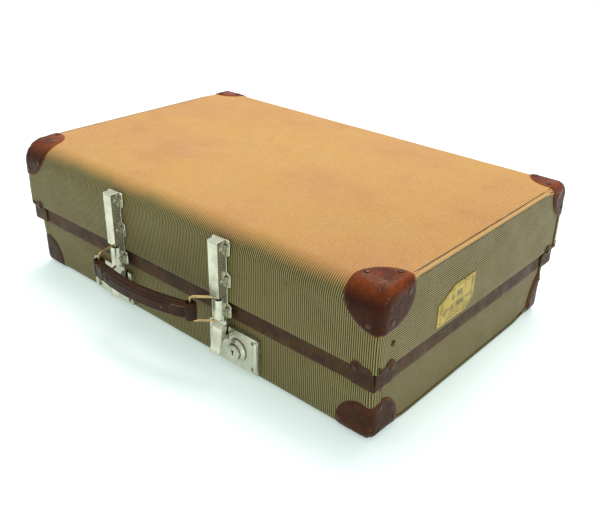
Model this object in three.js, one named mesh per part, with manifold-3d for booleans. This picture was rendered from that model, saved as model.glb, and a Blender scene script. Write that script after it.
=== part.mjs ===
// Vintage hard suitcase of covered fibreboard, lying flat on its base with the lid on top.
// Millimetres. +X runs along the front to the right, +Y to the back and +Z up.
// The front, with the handle and the two latches, faces -Y. The origin is below the middle
// of the whole object, in the plane that it rests on.

import * as THREE from 'three';
import { mergeVertices } from 'three/addons/utils/BufferGeometryUtils.js';
import Module from 'manifold-3d';

const wasm = await Module();
wasm.setup();

// ---- driving dimensions ----

const LENGTH = 600;                 // lid, outside, left to right
const DEPTH = 386;                  // lid, outside, front to back
const LID_TOP = 180;                // outer face of the lid's board
const SEAM = 91.5;                  // lower edge of the lid's board
const RIM_DROP = 22.5;              // how far the rim band hangs below the lid's board
const RIM_LAP = 15;                 // how far the rim band reaches up inside the lid
const BOARD = 4;                    // board with its covering
const LID_FRONT_BEND = 28;          // outside of the lid's bend from front to top
const LID_REAR_BEND = 15;
const BASE_BEND = 11;               // outside of the base's bends, front and rear
const GAP = 0.3;                    // between pieces that touch
const RIM_THICKNESS = 3.7;
const RIM_CLEARANCE = 1;            // between the rim band and the base
const LINING = 1;
const CAP_THICKNESS = 1.2;
const CAP_REACH = 50;               // from the corner to the cap's edge
const CAP_LENGTH = 60;              // of the shell that the cap is cut from

const LATCH_OFFSET = 92;            // each latch from the middle
const LATCH_WIDTH = 15;
const LATCH_SHEET = 1.2;
const LATCH_TOP = 168;
const LATCH_BOTTOM = 63.5;
const LATCH_PROUD = 13.5;           // front of the latch before the lid's front
const SLEEVE_TOP = 97;
const SLEEVE_BOTTOM = 72;
const HASP_PIN_RADIUS = 1.5;
const BACK_PLATE_SHEET = 1.5;
const CHEEK_DEPTH = 7;              // of the channel's walls beside the sleeve
const WINDOW_ABOVE_RING = 4;
const EAR_REACH = 14;               // from the latch's middle to the end of an ear
const HASP_KNUCKLE_RADIUS = 3;
const HASP_PIN_END = 1.3;           // how far the pin stands out of the channel
const RING_PIVOT_DEPTH = 3.3;       // behind the latch's front

const WIRE_RADIUS = 1.5;
const RING_TOP = 99.5;              // middle of the ring's upper run
const RING_BOTTOM = 69.5;
const RING_REACH = 29;              // between the ring's two upright runs
const LEFT_RING_TURN = 15;          // degrees at rest, from straight out towards +X
const RIGHT_RING_TURN = -49;
const HANDLE_HEIGHT = 21;
const HANDLE_THICKNESS = 13;
const HANDLE_BOW = 12;              // the grip's middle before its ends
const LOOP_RADIUS = 7.2;            // of the grip's end loops
const LOOP_BORE = 4.2;
const GRIP_RIVET_PLACE = 46;        // from the grip's middle
const GRIP_RIVET_RADIUS = 2.2;
const GRIP_RIVET_HEAD = 0.8;

const HINGE_OFFSET = 185;
const HINGE_WIDTH = 50;
const KNUCKLE_RADIUS = 3;
const HINGE_PIN_RADIUS = 1.3;
const HINGE_MIDDLE_HALF = 12;       // half the length of a lid leaf's knuckle
const HINGE_LEAF = 1.2;
const HINGE_LEAF_DROP = 25;
const HINGE_PIN_END = 0.8;
const PIN_CLEARANCE = 0.3;

// ---- sizes that follow from them ----

const HALF_LENGTH = LENGTH / 2;
const HALF_DEPTH = DEPTH / 2;
const FRONT = -HALF_DEPTH;                                      // the lid's front face
const RIM_BOTTOM = SEAM - RIM_DROP;
const BASE_INSET = BOARD + GAP + RIM_THICKNESS + RIM_CLEARANCE;
const BASE_HALF_LENGTH = HALF_LENGTH - BASE_INSET;
const BASE_HALF_DEPTH = HALF_DEPTH - BASE_INSET;
const BASE_FRONT = -BASE_HALF_DEPTH;
const BASE_BOTTOM = CAP_THICKNESS + GAP;                        // underside of the base's board
const BASE_TOP = SEAM - 4;
const HANDLE_Z = RING_BOTTOM + WIRE_RADIUS + 0.5;
const RING_PIVOT_Y = FRONT - LATCH_PROUD + RING_PIVOT_DEPTH;

// The upright run of a ring that the grip hangs on.
function ringEnd(pivotX, degrees) {
  const turn = THREE.MathUtils.degToRad(degrees);
  return new THREE.Vector2(
    pivotX + RING_REACH * Math.sin(turn),
    RING_PIVOT_Y - RING_REACH * Math.cos(turn));
}

const LEFT_END = ringEnd(-LATCH_OFFSET, LEFT_RING_TURN);
const RIGHT_END = ringEnd(LATCH_OFFSET, RIGHT_RING_TURN);

// ---- colours: name to colour, roughness and metalness ----

const FINISHES = {
  cloth: [0x8f8452, 0.8, 0],
  fibre: [0x5a3828, 0.5, 0],
  cap: [0x6b3018, 0.35, 0],
  nickel: [0xb9b9ab, 0.35, 1],
  brass: [0xb08a45, 0.35, 1],
  leather: [0x3a1d14, 0.45, 0],
  paper: [0xc9b48c, 0.9, 0],
  sticker: [0xd8b93f, 0.6, 0],
};

// ---- solids ----

function solid(geometry) {
  const bare = geometry.clone();
  bare.deleteAttribute('normal');
  bare.deleteAttribute('uv');
  const merged = mergeVertices(bare, 1e-4);
  return new wasm.Manifold(new wasm.Mesh({
    numProp: 3,
    vertProperties: new Float32Array(merged.attributes.position.array),
    triVerts: new Uint32Array(merged.index.array),
  }));
}

function geometryOf(manifold) {
  const mesh = manifold.getMesh();
  const geometry = new THREE.BufferGeometry();
  geometry.setAttribute('position', new THREE.BufferAttribute(mesh.vertProperties, 3));
  geometry.setIndex(new THREE.BufferAttribute(mesh.triVerts, 1));
  return geometry;
}

function block(x0, x1, y0, y1, z0, z1) {
  const box = new THREE.BoxGeometry(x1 - x0, y1 - y0, z1 - z0);
  box.translate((x0 + x1) / 2, (y0 + y1) / 2, (z0 + z1) / 2);
  return solid(box);
}

// A rod from one point to another.
function rod(from, to, radius, sides = 20) {
  const axis = to.clone().sub(from);
  const cylinder = new THREE.CylinderGeometry(radius, radius, axis.length(), sides);
  const turn = new THREE.Quaternion().setFromUnitVectors(
    new THREE.Vector3(0, 1, 0), axis.clone().normalize());
  cylinder.applyQuaternion(turn);
  cylinder.translate((from.x + to.x) / 2, (from.y + to.y) / 2, (from.z + to.z) / 2);
  return solid(cylinder);
}

function ball(centre, radius, sides) {
  const sphere = new THREE.SphereGeometry(radius, sides, sides / 2);
  sphere.translate(centre.x, centre.y, centre.z);
  return solid(sphere);
}

const point = (x, y, z) => new THREE.Vector3(x, y, z);
const rodX = (x0, x1, y, z, radius, sides) => rod(point(x0, y, z), point(x1, y, z), radius, sides);
const rodY = (x, y0, y1, z, radius, sides) => rod(point(x, y0, z), point(x, y1, z), radius, sides);
const rodZ = (x, y, z0, z1, radius, sides) => rod(point(x, y, z0), point(x, y, z1), radius, sides);

// An outline in Y and Z, pushed from x0 to x1.
function prismX(outline, x0, x1) {
  const options = { depth: x1 - x0, bevelEnabled: false, curveSegments: 6 };
  const geometry = new THREE.ExtrudeGeometry(outline, options);
  const turn = new THREE.Matrix4().makeBasis(point(0, 1, 0), point(0, 0, 1), point(1, 0, 0));
  geometry.applyMatrix4(turn);
  geometry.translate(x0, 0, 0);
  return solid(geometry);
}

// An outline in X and Y, pushed from z0 to z1.
function prismZ(outline, z0, z1, curveSegments) {
  const options = { depth: z1 - z0, bevelEnabled: false, curveSegments };
  const geometry = new THREE.ExtrudeGeometry(outline, options);
  geometry.translate(0, 0, z0);
  return solid(geometry);
}

// The section of a case half in Y and Z: straight sides from its open edge to a closed face,
// with a bend at the front and another at the rear.
function halfSection(halfDepth, edgeZ, faceZ, frontBend, rearBend) {
  const up = Math.sign(faceZ - edgeZ);
  const rearZ = faceZ - up * rearBend;
  const frontZ = faceZ - up * frontBend;
  const quarter = up * Math.PI / 2;
  const outline = new THREE.Shape();
  outline.moveTo(halfDepth, edgeZ);
  outline.lineTo(halfDepth, rearZ);
  outline.absarc(halfDepth - rearBend, rearZ, rearBend, 0, quarter, up < 0);
  outline.absarc(frontBend - halfDepth, frontZ, frontBend, quarter, 2 * quarter, up < 0);
  outline.lineTo(-halfDepth, edgeZ);
  outline.closePath();
  return outline;
}

// ---- the scene ----

const suitcase = new THREE.Group();

function add(name, finish, manifold) {
  const [color, roughness, metalness] = FINISHES[finish];
  const material = new THREE.MeshStandardMaterial({ color, roughness, metalness });
  const mesh = new THREE.Mesh(geometryOf(manifold), material);
  mesh.name = name;
  suitcase.add(mesh);
}

const SIDES = [['left', -1], ['right', 1]];
const ENDS = [['front', -1], ['rear', 1]];

// ---- lid and base ----

// A bent board, its two end panels and its lining, for the lid or the base.
function addHalf(name, halfLength, halfDepth, edgeZ, faceZ, bends, liningEdgeZ) {
  const up = Math.sign(faceZ - edgeZ);
  const beyond = edgeZ - up;
  const section = (inset, edge) => halfSection(
    halfDepth - inset, edge, faceZ - up * inset, bends[0] - inset, bends[1] - inset);
  const board = prismX(section(0, edgeZ), -halfLength, halfLength)
    .subtract(prismX(section(BOARD, beyond), -halfLength - 1, halfLength + 1));
  add(`${name}_wrap_board`, 'cloth', board);
  for (const [side, sign] of SIDES) {
    const inner = sign * (halfLength - BOARD);
    const outer = sign * halfLength;
    const outline = section(BOARD + GAP, edgeZ);
    const panel = prismX(outline, Math.min(inner, outer), Math.max(inner, outer));
    add(`${name}_end_panel_${side}`, 'cloth', panel);
  }
  const skin = BOARD + GAP;
  const liningLength = halfLength - skin;
  const cavityLength = liningLength - LINING;
  const lining = prismX(section(skin, liningEdgeZ), -liningLength, liningLength)
    .subtract(prismX(section(skin + LINING, liningEdgeZ - up), -cavityLength, cavityLength));
  add(`${name}_lining`, 'paper', lining);
}

// A riveted cap over one corner: a thin shell that follows the board's bend, cut round.
function addCap(name, halfLength, halfDepth, edgeZ, faceZ, bends, signX, signY) {
  const up = Math.sign(faceZ - edgeZ);
  const shell = (offset) => {
    const section = halfSection(
      halfDepth + offset, edgeZ, faceZ + up * offset, bends[0] + offset, bends[1] + offset);
    const near = signX * (halfLength - CAP_LENGTH);
    const far = signX * (halfLength + offset);
    return prismX(section, Math.min(near, far), Math.max(near, far));
  };
  const coreLow = Math.min(edgeZ - up, faceZ - up);
  const coreHigh = Math.max(edgeZ - up, faceZ - up);
  const core = block(-halfLength, halfLength, -halfDepth, halfDepth, coreLow, coreHigh);
  const reach = ball(point(signX * halfLength, signY * halfDepth, faceZ), CAP_REACH, 28);
  const inside = shell(GAP).add(core);
  add(name, 'cap', shell(GAP + CAP_THICKNESS).subtract(inside).intersect(reach));
}

const LID_SIZE = [HALF_LENGTH, HALF_DEPTH, SEAM, LID_TOP, [LID_FRONT_BEND, LID_REAR_BEND]];
const BASE_SIZE = [BASE_HALF_LENGTH, BASE_HALF_DEPTH, BASE_TOP, BASE_BOTTOM, [BASE_BEND, BASE_BEND]];
addHalf('lid', ...LID_SIZE, SEAM + RIM_LAP + GAP);
addHalf('base', ...BASE_SIZE, BASE_TOP - 2);

for (const [side, signX] of SIDES) {
  for (const [end, signY] of ENDS) {
    addCap(`lid_cap_${end}_${side}`, ...LID_SIZE, signX, signY);
    addCap(`base_cap_${end}_${side}`, ...BASE_SIZE, signX, signY);
  }
}

// ---- rim band and its corner pieces ----

function addRimBand() {
  const outerX = HALF_LENGTH - BOARD - GAP;
  const outerY = HALF_DEPTH - BOARD - GAP;
  const innerX = outerX - RIM_THICKNESS;
  const innerY = outerY - RIM_THICKNESS;
  const top = SEAM + RIM_LAP;
  const band = block(-outerX, outerX, -outerY, outerY, RIM_BOTTOM, top)
    .subtract(block(-innerX, innerX, -innerY, innerY, RIM_BOTTOM - 1, top + 1));
  add('lid_rim_band', 'fibre', band);
}

// An angle over the lid's lower corner, with a round lobe for a rivet on each leg.
function addRimCorner(name, signX, signY) {
  const legX = 33;
  const legY = 26;
  const legTop = SEAM + 1;
  const lobeRadius = 8.5;
  const lobeZ = SEAM - 2;
  const inX = HALF_LENGTH + GAP;
  const inY = HALF_DEPTH + GAP;
  const outX = inX + CAP_THICKNESS;
  const outY = inY + CAP_THICKNESS;
  const lobeX = outX - legX + lobeRadius;
  const lobeY = outY - legY + lobeRadius;
  const angle = block(outX - legX, outX, outY - legY, outY, RIM_BOTTOM, legTop)
    .add(rodY(lobeX, inY - 1, outY, lobeZ, lobeRadius, 24))
    .add(rodX(inX - 1, outX, lobeY, lobeZ, lobeRadius, 24))
    .subtract(block(0, inX, 0, inY, RIM_BOTTOM - 1, SEAM + 20));
  add(name, 'fibre', angle.scale([signX, signY, 1]));
}

addRimBand();
for (const [side, signX] of SIDES) {
  for (const [end, signY] of ENDS) {
    addRimCorner(`rim_corner_${end}_${side}`, signX, signY);
  }
}

// ---- latches ----

const EARS = [[148, 166], [110, 128.5], [73.5, 88.5]];          // lower and upper ends
const HASP_PIN_Y = FRONT - 4.5;
const HASP_PIN_Z = 67.5;
const TONGUE_HALF_WIDTH = 2.5;
const TONGUE_Z = [41.5, 46];

function addLatch(side, sign) {
  const x = sign * LATCH_OFFSET;
  const half = LATCH_WIDTH / 2;
  const inside = half - LATCH_SHEET;
  const backFace = FRONT - GAP;
  const plateFace = backFace - BACK_PLATE_SHEET;
  const channelBack = plateFace - GAP;
  const channelFront = FRONT - LATCH_PROUD;
  const cheekFront = FRONT - CHEEK_DEPTH;
  const windowTop = RING_TOP + WINDOW_ABOVE_RING;
  const low = LATCH_BOTTOM - 1;
  const pinHole = HASP_PIN_RADIUS + PIN_CLEARANCE;

  let plate = block(x - half, x + half, plateFace, backFace, SLEEVE_BOTTOM, LATCH_TOP);
  for (const [earLow, earHigh] of EARS) {
    plate = plate.add(block(x - EAR_REACH, x + EAR_REACH, plateFace, backFace, earLow, earHigh));
  }
  add(`latch_back_plate_${side}`, 'nickel', plate);

  const cavity = block(
    x - inside, x + inside, channelFront + LATCH_SHEET, channelBack + 1, low, LATCH_TOP - LATCH_SHEET);
  const mouth = block(x - half - 1, x + half + 1, channelFront - 1, cheekFront, low, windowTop);
  const cheekHole = rodX(x - half - 1, x + half + 1, HASP_PIN_Y, HASP_PIN_Z, pinHole);
  const channel = block(x - half, x + half, channelFront, channelBack, LATCH_BOTTOM, LATCH_TOP)
    .subtract(cavity)
    .subtract(mouth)
    .subtract(cheekHole);
  add(`latch_channel_${side}`, 'nickel', channel);

  const wireHole = rodZ(x, RING_PIVOT_Y, SLEEVE_BOTTOM - 1, SLEEVE_TOP + 1, WIRE_RADIUS + PIN_CLEARANCE);
  const sleeve = block(x - half, x + half, channelFront, cheekFront - GAP, SLEEVE_BOTTOM, SLEEVE_TOP)
    .subtract(wireHole);
  add(`ring_sleeve_${side}`, 'nickel', sleeve);

  const pinHalf = half + HASP_PIN_END;
  const pin = rodX(x - pinHalf, x + pinHalf, HASP_PIN_Y, HASP_PIN_Z, HASP_PIN_RADIUS);
  add(`hasp_pin_${side}`, 'nickel', pin);

  const lever = new THREE.Shape();
  lever.moveTo(FRONT - 11, 61);
  lever.lineTo(FRONT - 17.5, 28.5);
  lever.lineTo(FRONT - 15.8, 28);
  lever.quadraticCurveTo(FRONT - 7, 41, FRONT - 1.6, 61);
  lever.closePath();
  const knuckleHalf = inside - GAP;
  const knuckleBack = HASP_PIN_Y + HASP_KNUCKLE_RADIUS - 0.2;
  const neck = block(x - knuckleHalf, x + knuckleHalf, HASP_PIN_Y - HASP_KNUCKLE_RADIUS, knuckleBack,
    60, HASP_PIN_Z);
  const tongueBack = BASE_FRONT - 2.3;
  const tongue = block(
    x - TONGUE_HALF_WIDTH, x + TONGUE_HALF_WIDTH, FRONT - 9, tongueBack, ...TONGUE_Z);
  const hasp = prismX(lever, x - half, x + half)
    .add(neck)
    .add(rodX(x - knuckleHalf, x + knuckleHalf, HASP_PIN_Y, HASP_PIN_Z, HASP_KNUCKLE_RADIUS))
    .add(tongue)
    .subtract(rodX(x - half - 1, x + half + 1, HASP_PIN_Y, HASP_PIN_Z, pinHole));
  add(`hasp_${side}`, 'nickel', hasp);
}

for (const [side, sign] of SIDES) addLatch(side, sign);

// ---- locks ----

const PLATE_WIDTH = 77;
const PLATE_Z = [10, 57];
const PLATE_PROUD = 5.8;
const PLATE_SHEET = 1.5;
const KEY_FROM_OUTER_END = 32;
const KEY_Z = 32;
const BARREL_RADIUS = 9;
const SHAFT_RADIUS = 4;
const BARREL_NOSE = 7.5;            // how far the barrel stands out of the plate
const COLLAR_RADIUS = 14;
const COLLAR_HEIGHT = 4;
const KEYHOLE_RADIUS = 1.7;
const KEYHOLE_RISE = 1.5;
const KEYHOLE_SLOT_HALF = 0.9;
const KEYHOLE_DEPTH = 5;
const NOTCH_DROP = 2;               // of the plate's notch below the hasp's tongue
const BOLT_HEIGHT = 3.5;
const SCREW_MARGIN = 6;
const SCREW_RADIUS = 2.8;
const SCREW_HEIGHT = 1.2;
const LOCK_OUTER_ENDS = { left: -160, right: 141 };             // the left lock sits further out

function addLock(side, sign) {
  const outer = LOCK_OUTER_ENDS[side];
  const inner = outer - sign * PLATE_WIDTH;
  const x0 = Math.min(outer, inner);
  const x1 = Math.max(outer, inner);
  const [z0, z1] = PLATE_Z;
  const haspX = sign * LATCH_OFFSET;
  const keyX = outer - sign * KEY_FROM_OUTER_END;
  const back = BASE_FRONT - GAP;
  const front = BASE_FRONT - PLATE_PROUD;
  const roomFront = front + PLATE_SHEET;
  const notchHalf = TONGUE_HALF_WIDTH + 0.7;

  const room = block(
    x0 + PLATE_SHEET, x1 - PLATE_SHEET, roomFront, back + 1, z0 + PLATE_SHEET, z1 - PLATE_SHEET);
  const notch = block(
    haspX - notchHalf, haspX + notchHalf, front - 1, back + 1, TONGUE_Z[0] - NOTCH_DROP, z1 + 1);
  const plate = block(x0, x1, front, back, z0, z1)
    .subtract(room)
    .subtract(notch)
    .subtract(rodY(keyX, front - 1, back + 1, KEY_Z, SHAFT_RADIUS + PIN_CLEARANCE));
  add(`lock_plate_${side}`, 'nickel', plate);

  const collarBack = front - GAP;
  const collarFront = collarBack - COLLAR_HEIGHT;
  const collarBore = rodY(keyX, collarFront - 1, collarBack + 1, KEY_Z, BARREL_RADIUS + PIN_CLEARANCE, 28);
  const collar = rodY(keyX, collarFront, collarBack, KEY_Z, COLLAR_RADIUS, 28).subtract(collarBore);
  add(`lock_collar_${side}`, 'nickel', collar);

  const nose = collarBack - BARREL_NOSE;
  const holeEnd = nose + KEYHOLE_DEPTH;
  const holeZ = KEY_Z + KEYHOLE_RISE;
  const slot = block(
    keyX - KEYHOLE_SLOT_HALF, keyX + KEYHOLE_SLOT_HALF, nose - 1, holeEnd, holeZ - 5, holeZ);
  const barrel = rodY(keyX, nose, collarBack, KEY_Z, BARREL_RADIUS, 28)
    .add(rodY(keyX, collarBack - 1, BASE_FRONT - 2, KEY_Z, SHAFT_RADIUS))
    .subtract(rodY(keyX, nose - 1, holeEnd, holeZ, KEYHOLE_RADIUS))
    .subtract(slot);
  add(`key_barrel_${side}`, 'nickel', barrel);

  const boltIn = haspX + sign * (notchHalf + 0.4);
  const boltOut = keyX - sign * 2;
  const boltZ = TONGUE_Z[1] + 0.8;
  const bolt = block(
    Math.min(boltIn, boltOut), Math.max(boltIn, boltOut), roomFront + GAP, back - 0.7,
    boltZ, boltZ + BOLT_HEIGHT);
  add(`lock_bolt_${side}`, 'nickel', bolt);

  const outerX = outer - sign * SCREW_MARGIN;
  const innerX = inner + sign * SCREW_MARGIN;
  const spots = [
    ['outer_upper', outerX, z1 - SCREW_MARGIN],
    ['outer_lower', outerX, z0 + SCREW_MARGIN],
    ['inner_lower', innerX, z0 + SCREW_MARGIN],
  ];
  for (const [spot, x, z] of spots) {
    const screw = rodY(x, collarBack - SCREW_HEIGHT, collarBack, z, SCREW_RADIUS, 16);
    add(`lock_screw_${side}_${spot}`, 'nickel', screw);
  }
}

for (const [side, sign] of SIDES) addLock(side, sign);

// ---- handle ----

function addRing(side, pivotX, end) {
  const corners = [
    point(pivotX, RING_PIVOT_Y, RING_BOTTOM),
    point(pivotX, RING_PIVOT_Y, RING_TOP),
    point(end.x, end.y, RING_TOP),
    point(end.x, end.y, RING_BOTTOM),
  ];
  let ring = ball(corners[3], WIRE_RADIUS, 12);
  corners.forEach((corner, i) => {
    const next = corners[(i + 1) % 4];
    ring = ring.add(rod(corner, next, WIRE_RADIUS, 12)).add(ball(corner, WIRE_RADIUS, 12));
  });
  add(`handle_ring_${side}`, 'brass', ring);
}

// The leather grip: an arc in plan, with a loop at each end that is loose round its ring.
function addHandle() {
  const span = RIGHT_END.clone().sub(LEFT_END);
  const halfSpan = span.length() / 2;
  const radius = (halfSpan ** 2 + HANDLE_BOW ** 2) / (2 * HANDLE_BOW);
  const sweep = Math.asin(halfSpan / radius);
  const half = HANDLE_THICKNESS / 2;
  const top = HANDLE_Z + HANDLE_HEIGHT;
  const middle = -Math.PI / 2;
  const centreY = radius - HANDLE_BOW;

  const grip = new THREE.Shape();
  grip.absarc(0, centreY, radius + half, middle - sweep, middle + sweep, false);
  grip.absarc(0, centreY, radius - half, middle + sweep, middle - sweep, true);
  grip.closePath();
  const rivetY = centreY - Math.sqrt(radius ** 2 - GRIP_RIVET_PLACE ** 2);
  const rivetZ = HANDLE_Z + HANDLE_HEIGHT / 2;
  const holeRadius = GRIP_RIVET_RADIUS + PIN_CLEARANCE;
  const rivetHalf = half + GRIP_RIVET_HEAD;
  let body = prismZ(grip, HANDLE_Z, top, 20);
  for (const sign of [-1, 1]) {
    body = body
      .add(rodZ(sign * halfSpan, 0, HANDLE_Z, top, LOOP_RADIUS, 24))
      .subtract(rodY(sign * GRIP_RIVET_PLACE, rivetY - half - 4, rivetY + half + 4, rivetZ, holeRadius));
  }
  for (const sign of [-1, 1]) {
    body = body.subtract(rodZ(sign * halfSpan, 0, HANDLE_Z - 1, top + 1, LOOP_BORE, 20));
  }

  const middlePoint = LEFT_END.clone().add(RIGHT_END).divideScalar(2);
  const yaw = THREE.MathUtils.radToDeg(span.angle());
  const place = (manifold) => manifold.rotate([0, 0, yaw]).translate([middlePoint.x, middlePoint.y, 0]);
  add('handle_grip', 'leather', place(body));
  for (const [side, sign] of SIDES) {
    const rivet = rodY(
      sign * GRIP_RIVET_PLACE, rivetY - rivetHalf, rivetY + rivetHalf, rivetZ, GRIP_RIVET_RADIUS, 16);
    add(`handle_rivet_${side}`, 'brass', place(rivet));
  }
}

addRing('left', -LATCH_OFFSET, LEFT_END);
addRing('right', LATCH_OFFSET, RIGHT_END);
addHandle();

// ---- hinges at the back ----

const HINGE_Y = BASE_HALF_DEPTH + GAP + KNUCKLE_RADIUS;
const HINGE_Z = RIM_BOTTOM - GAP - KNUCKLE_RADIUS;

function addHinge(side, sign) {
  const x = sign * HINGE_OFFSET;
  const half = HINGE_WIDTH / 2;
  const boreRadius = HINGE_PIN_RADIUS + PIN_CLEARANCE;
  const bore = () => rodX(x - half - 1, x + half + 1, HINGE_Y, HINGE_Z, boreRadius);
  const rimFace = HALF_DEPTH - BOARD;
  const baseFace = BASE_HALF_DEPTH + GAP;
  const x0 = x - HINGE_MIDDLE_HALF;
  const x1 = x + HINGE_MIDDLE_HALF;

  const lidLeaf = block(x - half, x + half, rimFace, rimFace + HINGE_LEAF, RIM_BOTTOM + 1, SEAM - 2)
    .add(block(x0, x1, rimFace, rimFace + HINGE_LEAF, HINGE_Z, RIM_BOTTOM + 2))
    .add(rodX(x0, x1, HINGE_Y, HINGE_Z, KNUCKLE_RADIUS))
    .subtract(bore());
  add(`hinge_lid_leaf_${side}`, 'nickel', lidLeaf);

  const slot = block(
    x0 - GAP, x1 + GAP, baseFace - 1, HINGE_Y + KNUCKLE_RADIUS + 1,
    HINGE_Z - KNUCKLE_RADIUS - 1, HINGE_Z + KNUCKLE_RADIUS + 1);
  const leafBottom = HINGE_Z - HINGE_LEAF_DROP;
  const baseLeaf = block(x - half, x + half, baseFace, baseFace + HINGE_LEAF, leafBottom, HINGE_Z)
    .add(rodX(x - half, x + half, HINGE_Y, HINGE_Z, KNUCKLE_RADIUS))
    .subtract(slot)
    .subtract(bore());
  add(`hinge_base_leaf_${side}`, 'nickel', baseLeaf);

  const pinHalf = half + HINGE_PIN_END;
  add(`hinge_pin_${side}`, 'nickel', rodX(x - pinHalf, x + pinHalf, HINGE_Y, HINGE_Z, HINGE_PIN_RADIUS));
}

for (const [side, sign] of SIDES) addHinge(side, sign);

// ---- paper label on the lid's right end ----

const LABEL_SHEET = 0.4;
const LABEL_Y = [-98, -20];
const LABEL_Z = [97, 138];
const LABEL_X = HALF_LENGTH + GAP;
add('end_label', 'sticker', block(LABEL_X, LABEL_X + LABEL_SHEET, ...LABEL_Y, ...LABEL_Z));

// ---- the origin, below the middle of the whole object ----

const box = new THREE.Box3().setFromObject(suitcase);
suitcase.position.y = -(box.min.y + box.max.y) / 2;

export default suitcase;
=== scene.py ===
# Hard suitcase of cloth-covered board: the looks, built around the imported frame.
import math

import bmesh
import bpy
from mathutils import Matrix, Vector, noise


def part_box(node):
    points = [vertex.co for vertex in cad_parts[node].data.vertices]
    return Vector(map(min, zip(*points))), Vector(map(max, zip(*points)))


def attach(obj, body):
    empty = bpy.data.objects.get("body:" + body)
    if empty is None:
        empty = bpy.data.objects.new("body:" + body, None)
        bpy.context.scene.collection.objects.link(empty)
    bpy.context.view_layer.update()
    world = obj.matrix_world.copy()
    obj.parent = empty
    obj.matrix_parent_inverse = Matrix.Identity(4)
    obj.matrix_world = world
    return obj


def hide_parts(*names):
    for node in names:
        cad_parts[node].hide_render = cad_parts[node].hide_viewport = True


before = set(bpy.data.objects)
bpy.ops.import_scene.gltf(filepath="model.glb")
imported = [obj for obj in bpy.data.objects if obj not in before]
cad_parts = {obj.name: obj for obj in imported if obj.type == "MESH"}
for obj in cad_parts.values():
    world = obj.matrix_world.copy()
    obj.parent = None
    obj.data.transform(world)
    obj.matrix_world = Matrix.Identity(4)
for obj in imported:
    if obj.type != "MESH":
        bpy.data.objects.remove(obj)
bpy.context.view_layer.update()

MM = 0.001
SIDES = ((-1, "left"), (1, "right"))
DEPTHS = ((-1, "front"), (1, "rear"))
CORNERS = [(sx, sy, f"{depth}_{side}") for sx, side in SIDES for sy, depth in DEPTHS]


def box(node):
    """A node's lowest and highest corner in millimetres."""
    low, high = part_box(node)
    return low / MM, high / MM


def stand(name, data):
    """A new object in the scene."""
    obj = bpy.data.objects.new(name, data)
    bpy.context.collection.objects.link(obj)
    return obj


# ---------------------------------------------------------------- camera and light
CAMERA_AT = (0.6198, -0.6472, 0.5122)
CAMERA_TARGET = (0.0826, -0.0301, 0.0913)
CAMERA_ROLL = math.radians(1.27)
CAMERA_LENS = 44.94


def aim(at, target):
    return (Vector(target) - Vector(at)).to_track_quat("-Z", "Y")


def make_camera():
    data = bpy.data.cameras.new("camera")
    data.lens, data.sensor_width = CAMERA_LENS, 36
    data.clip_start, data.clip_end = 0.01, 50
    camera = stand("camera", data)
    turn = aim(CAMERA_AT, CAMERA_TARGET).to_matrix().to_4x4()
    camera.matrix_world = Matrix.Translation(CAMERA_AT) @ turn @ Matrix.Rotation(CAMERA_ROLL, 4, "Z")
    bpy.context.scene.camera = camera


def area_light(name, at, target, size, power, colour):
    data = bpy.data.lights.new(name, "AREA")
    data.shape = "RECTANGLE"
    data.size, data.size_y = size
    data.energy, data.color = power, colour
    light = stand(name, data)
    light.location = at
    light.rotation_mode = "QUATERNION"
    light.rotation_quaternion = aim(at, target)


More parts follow.
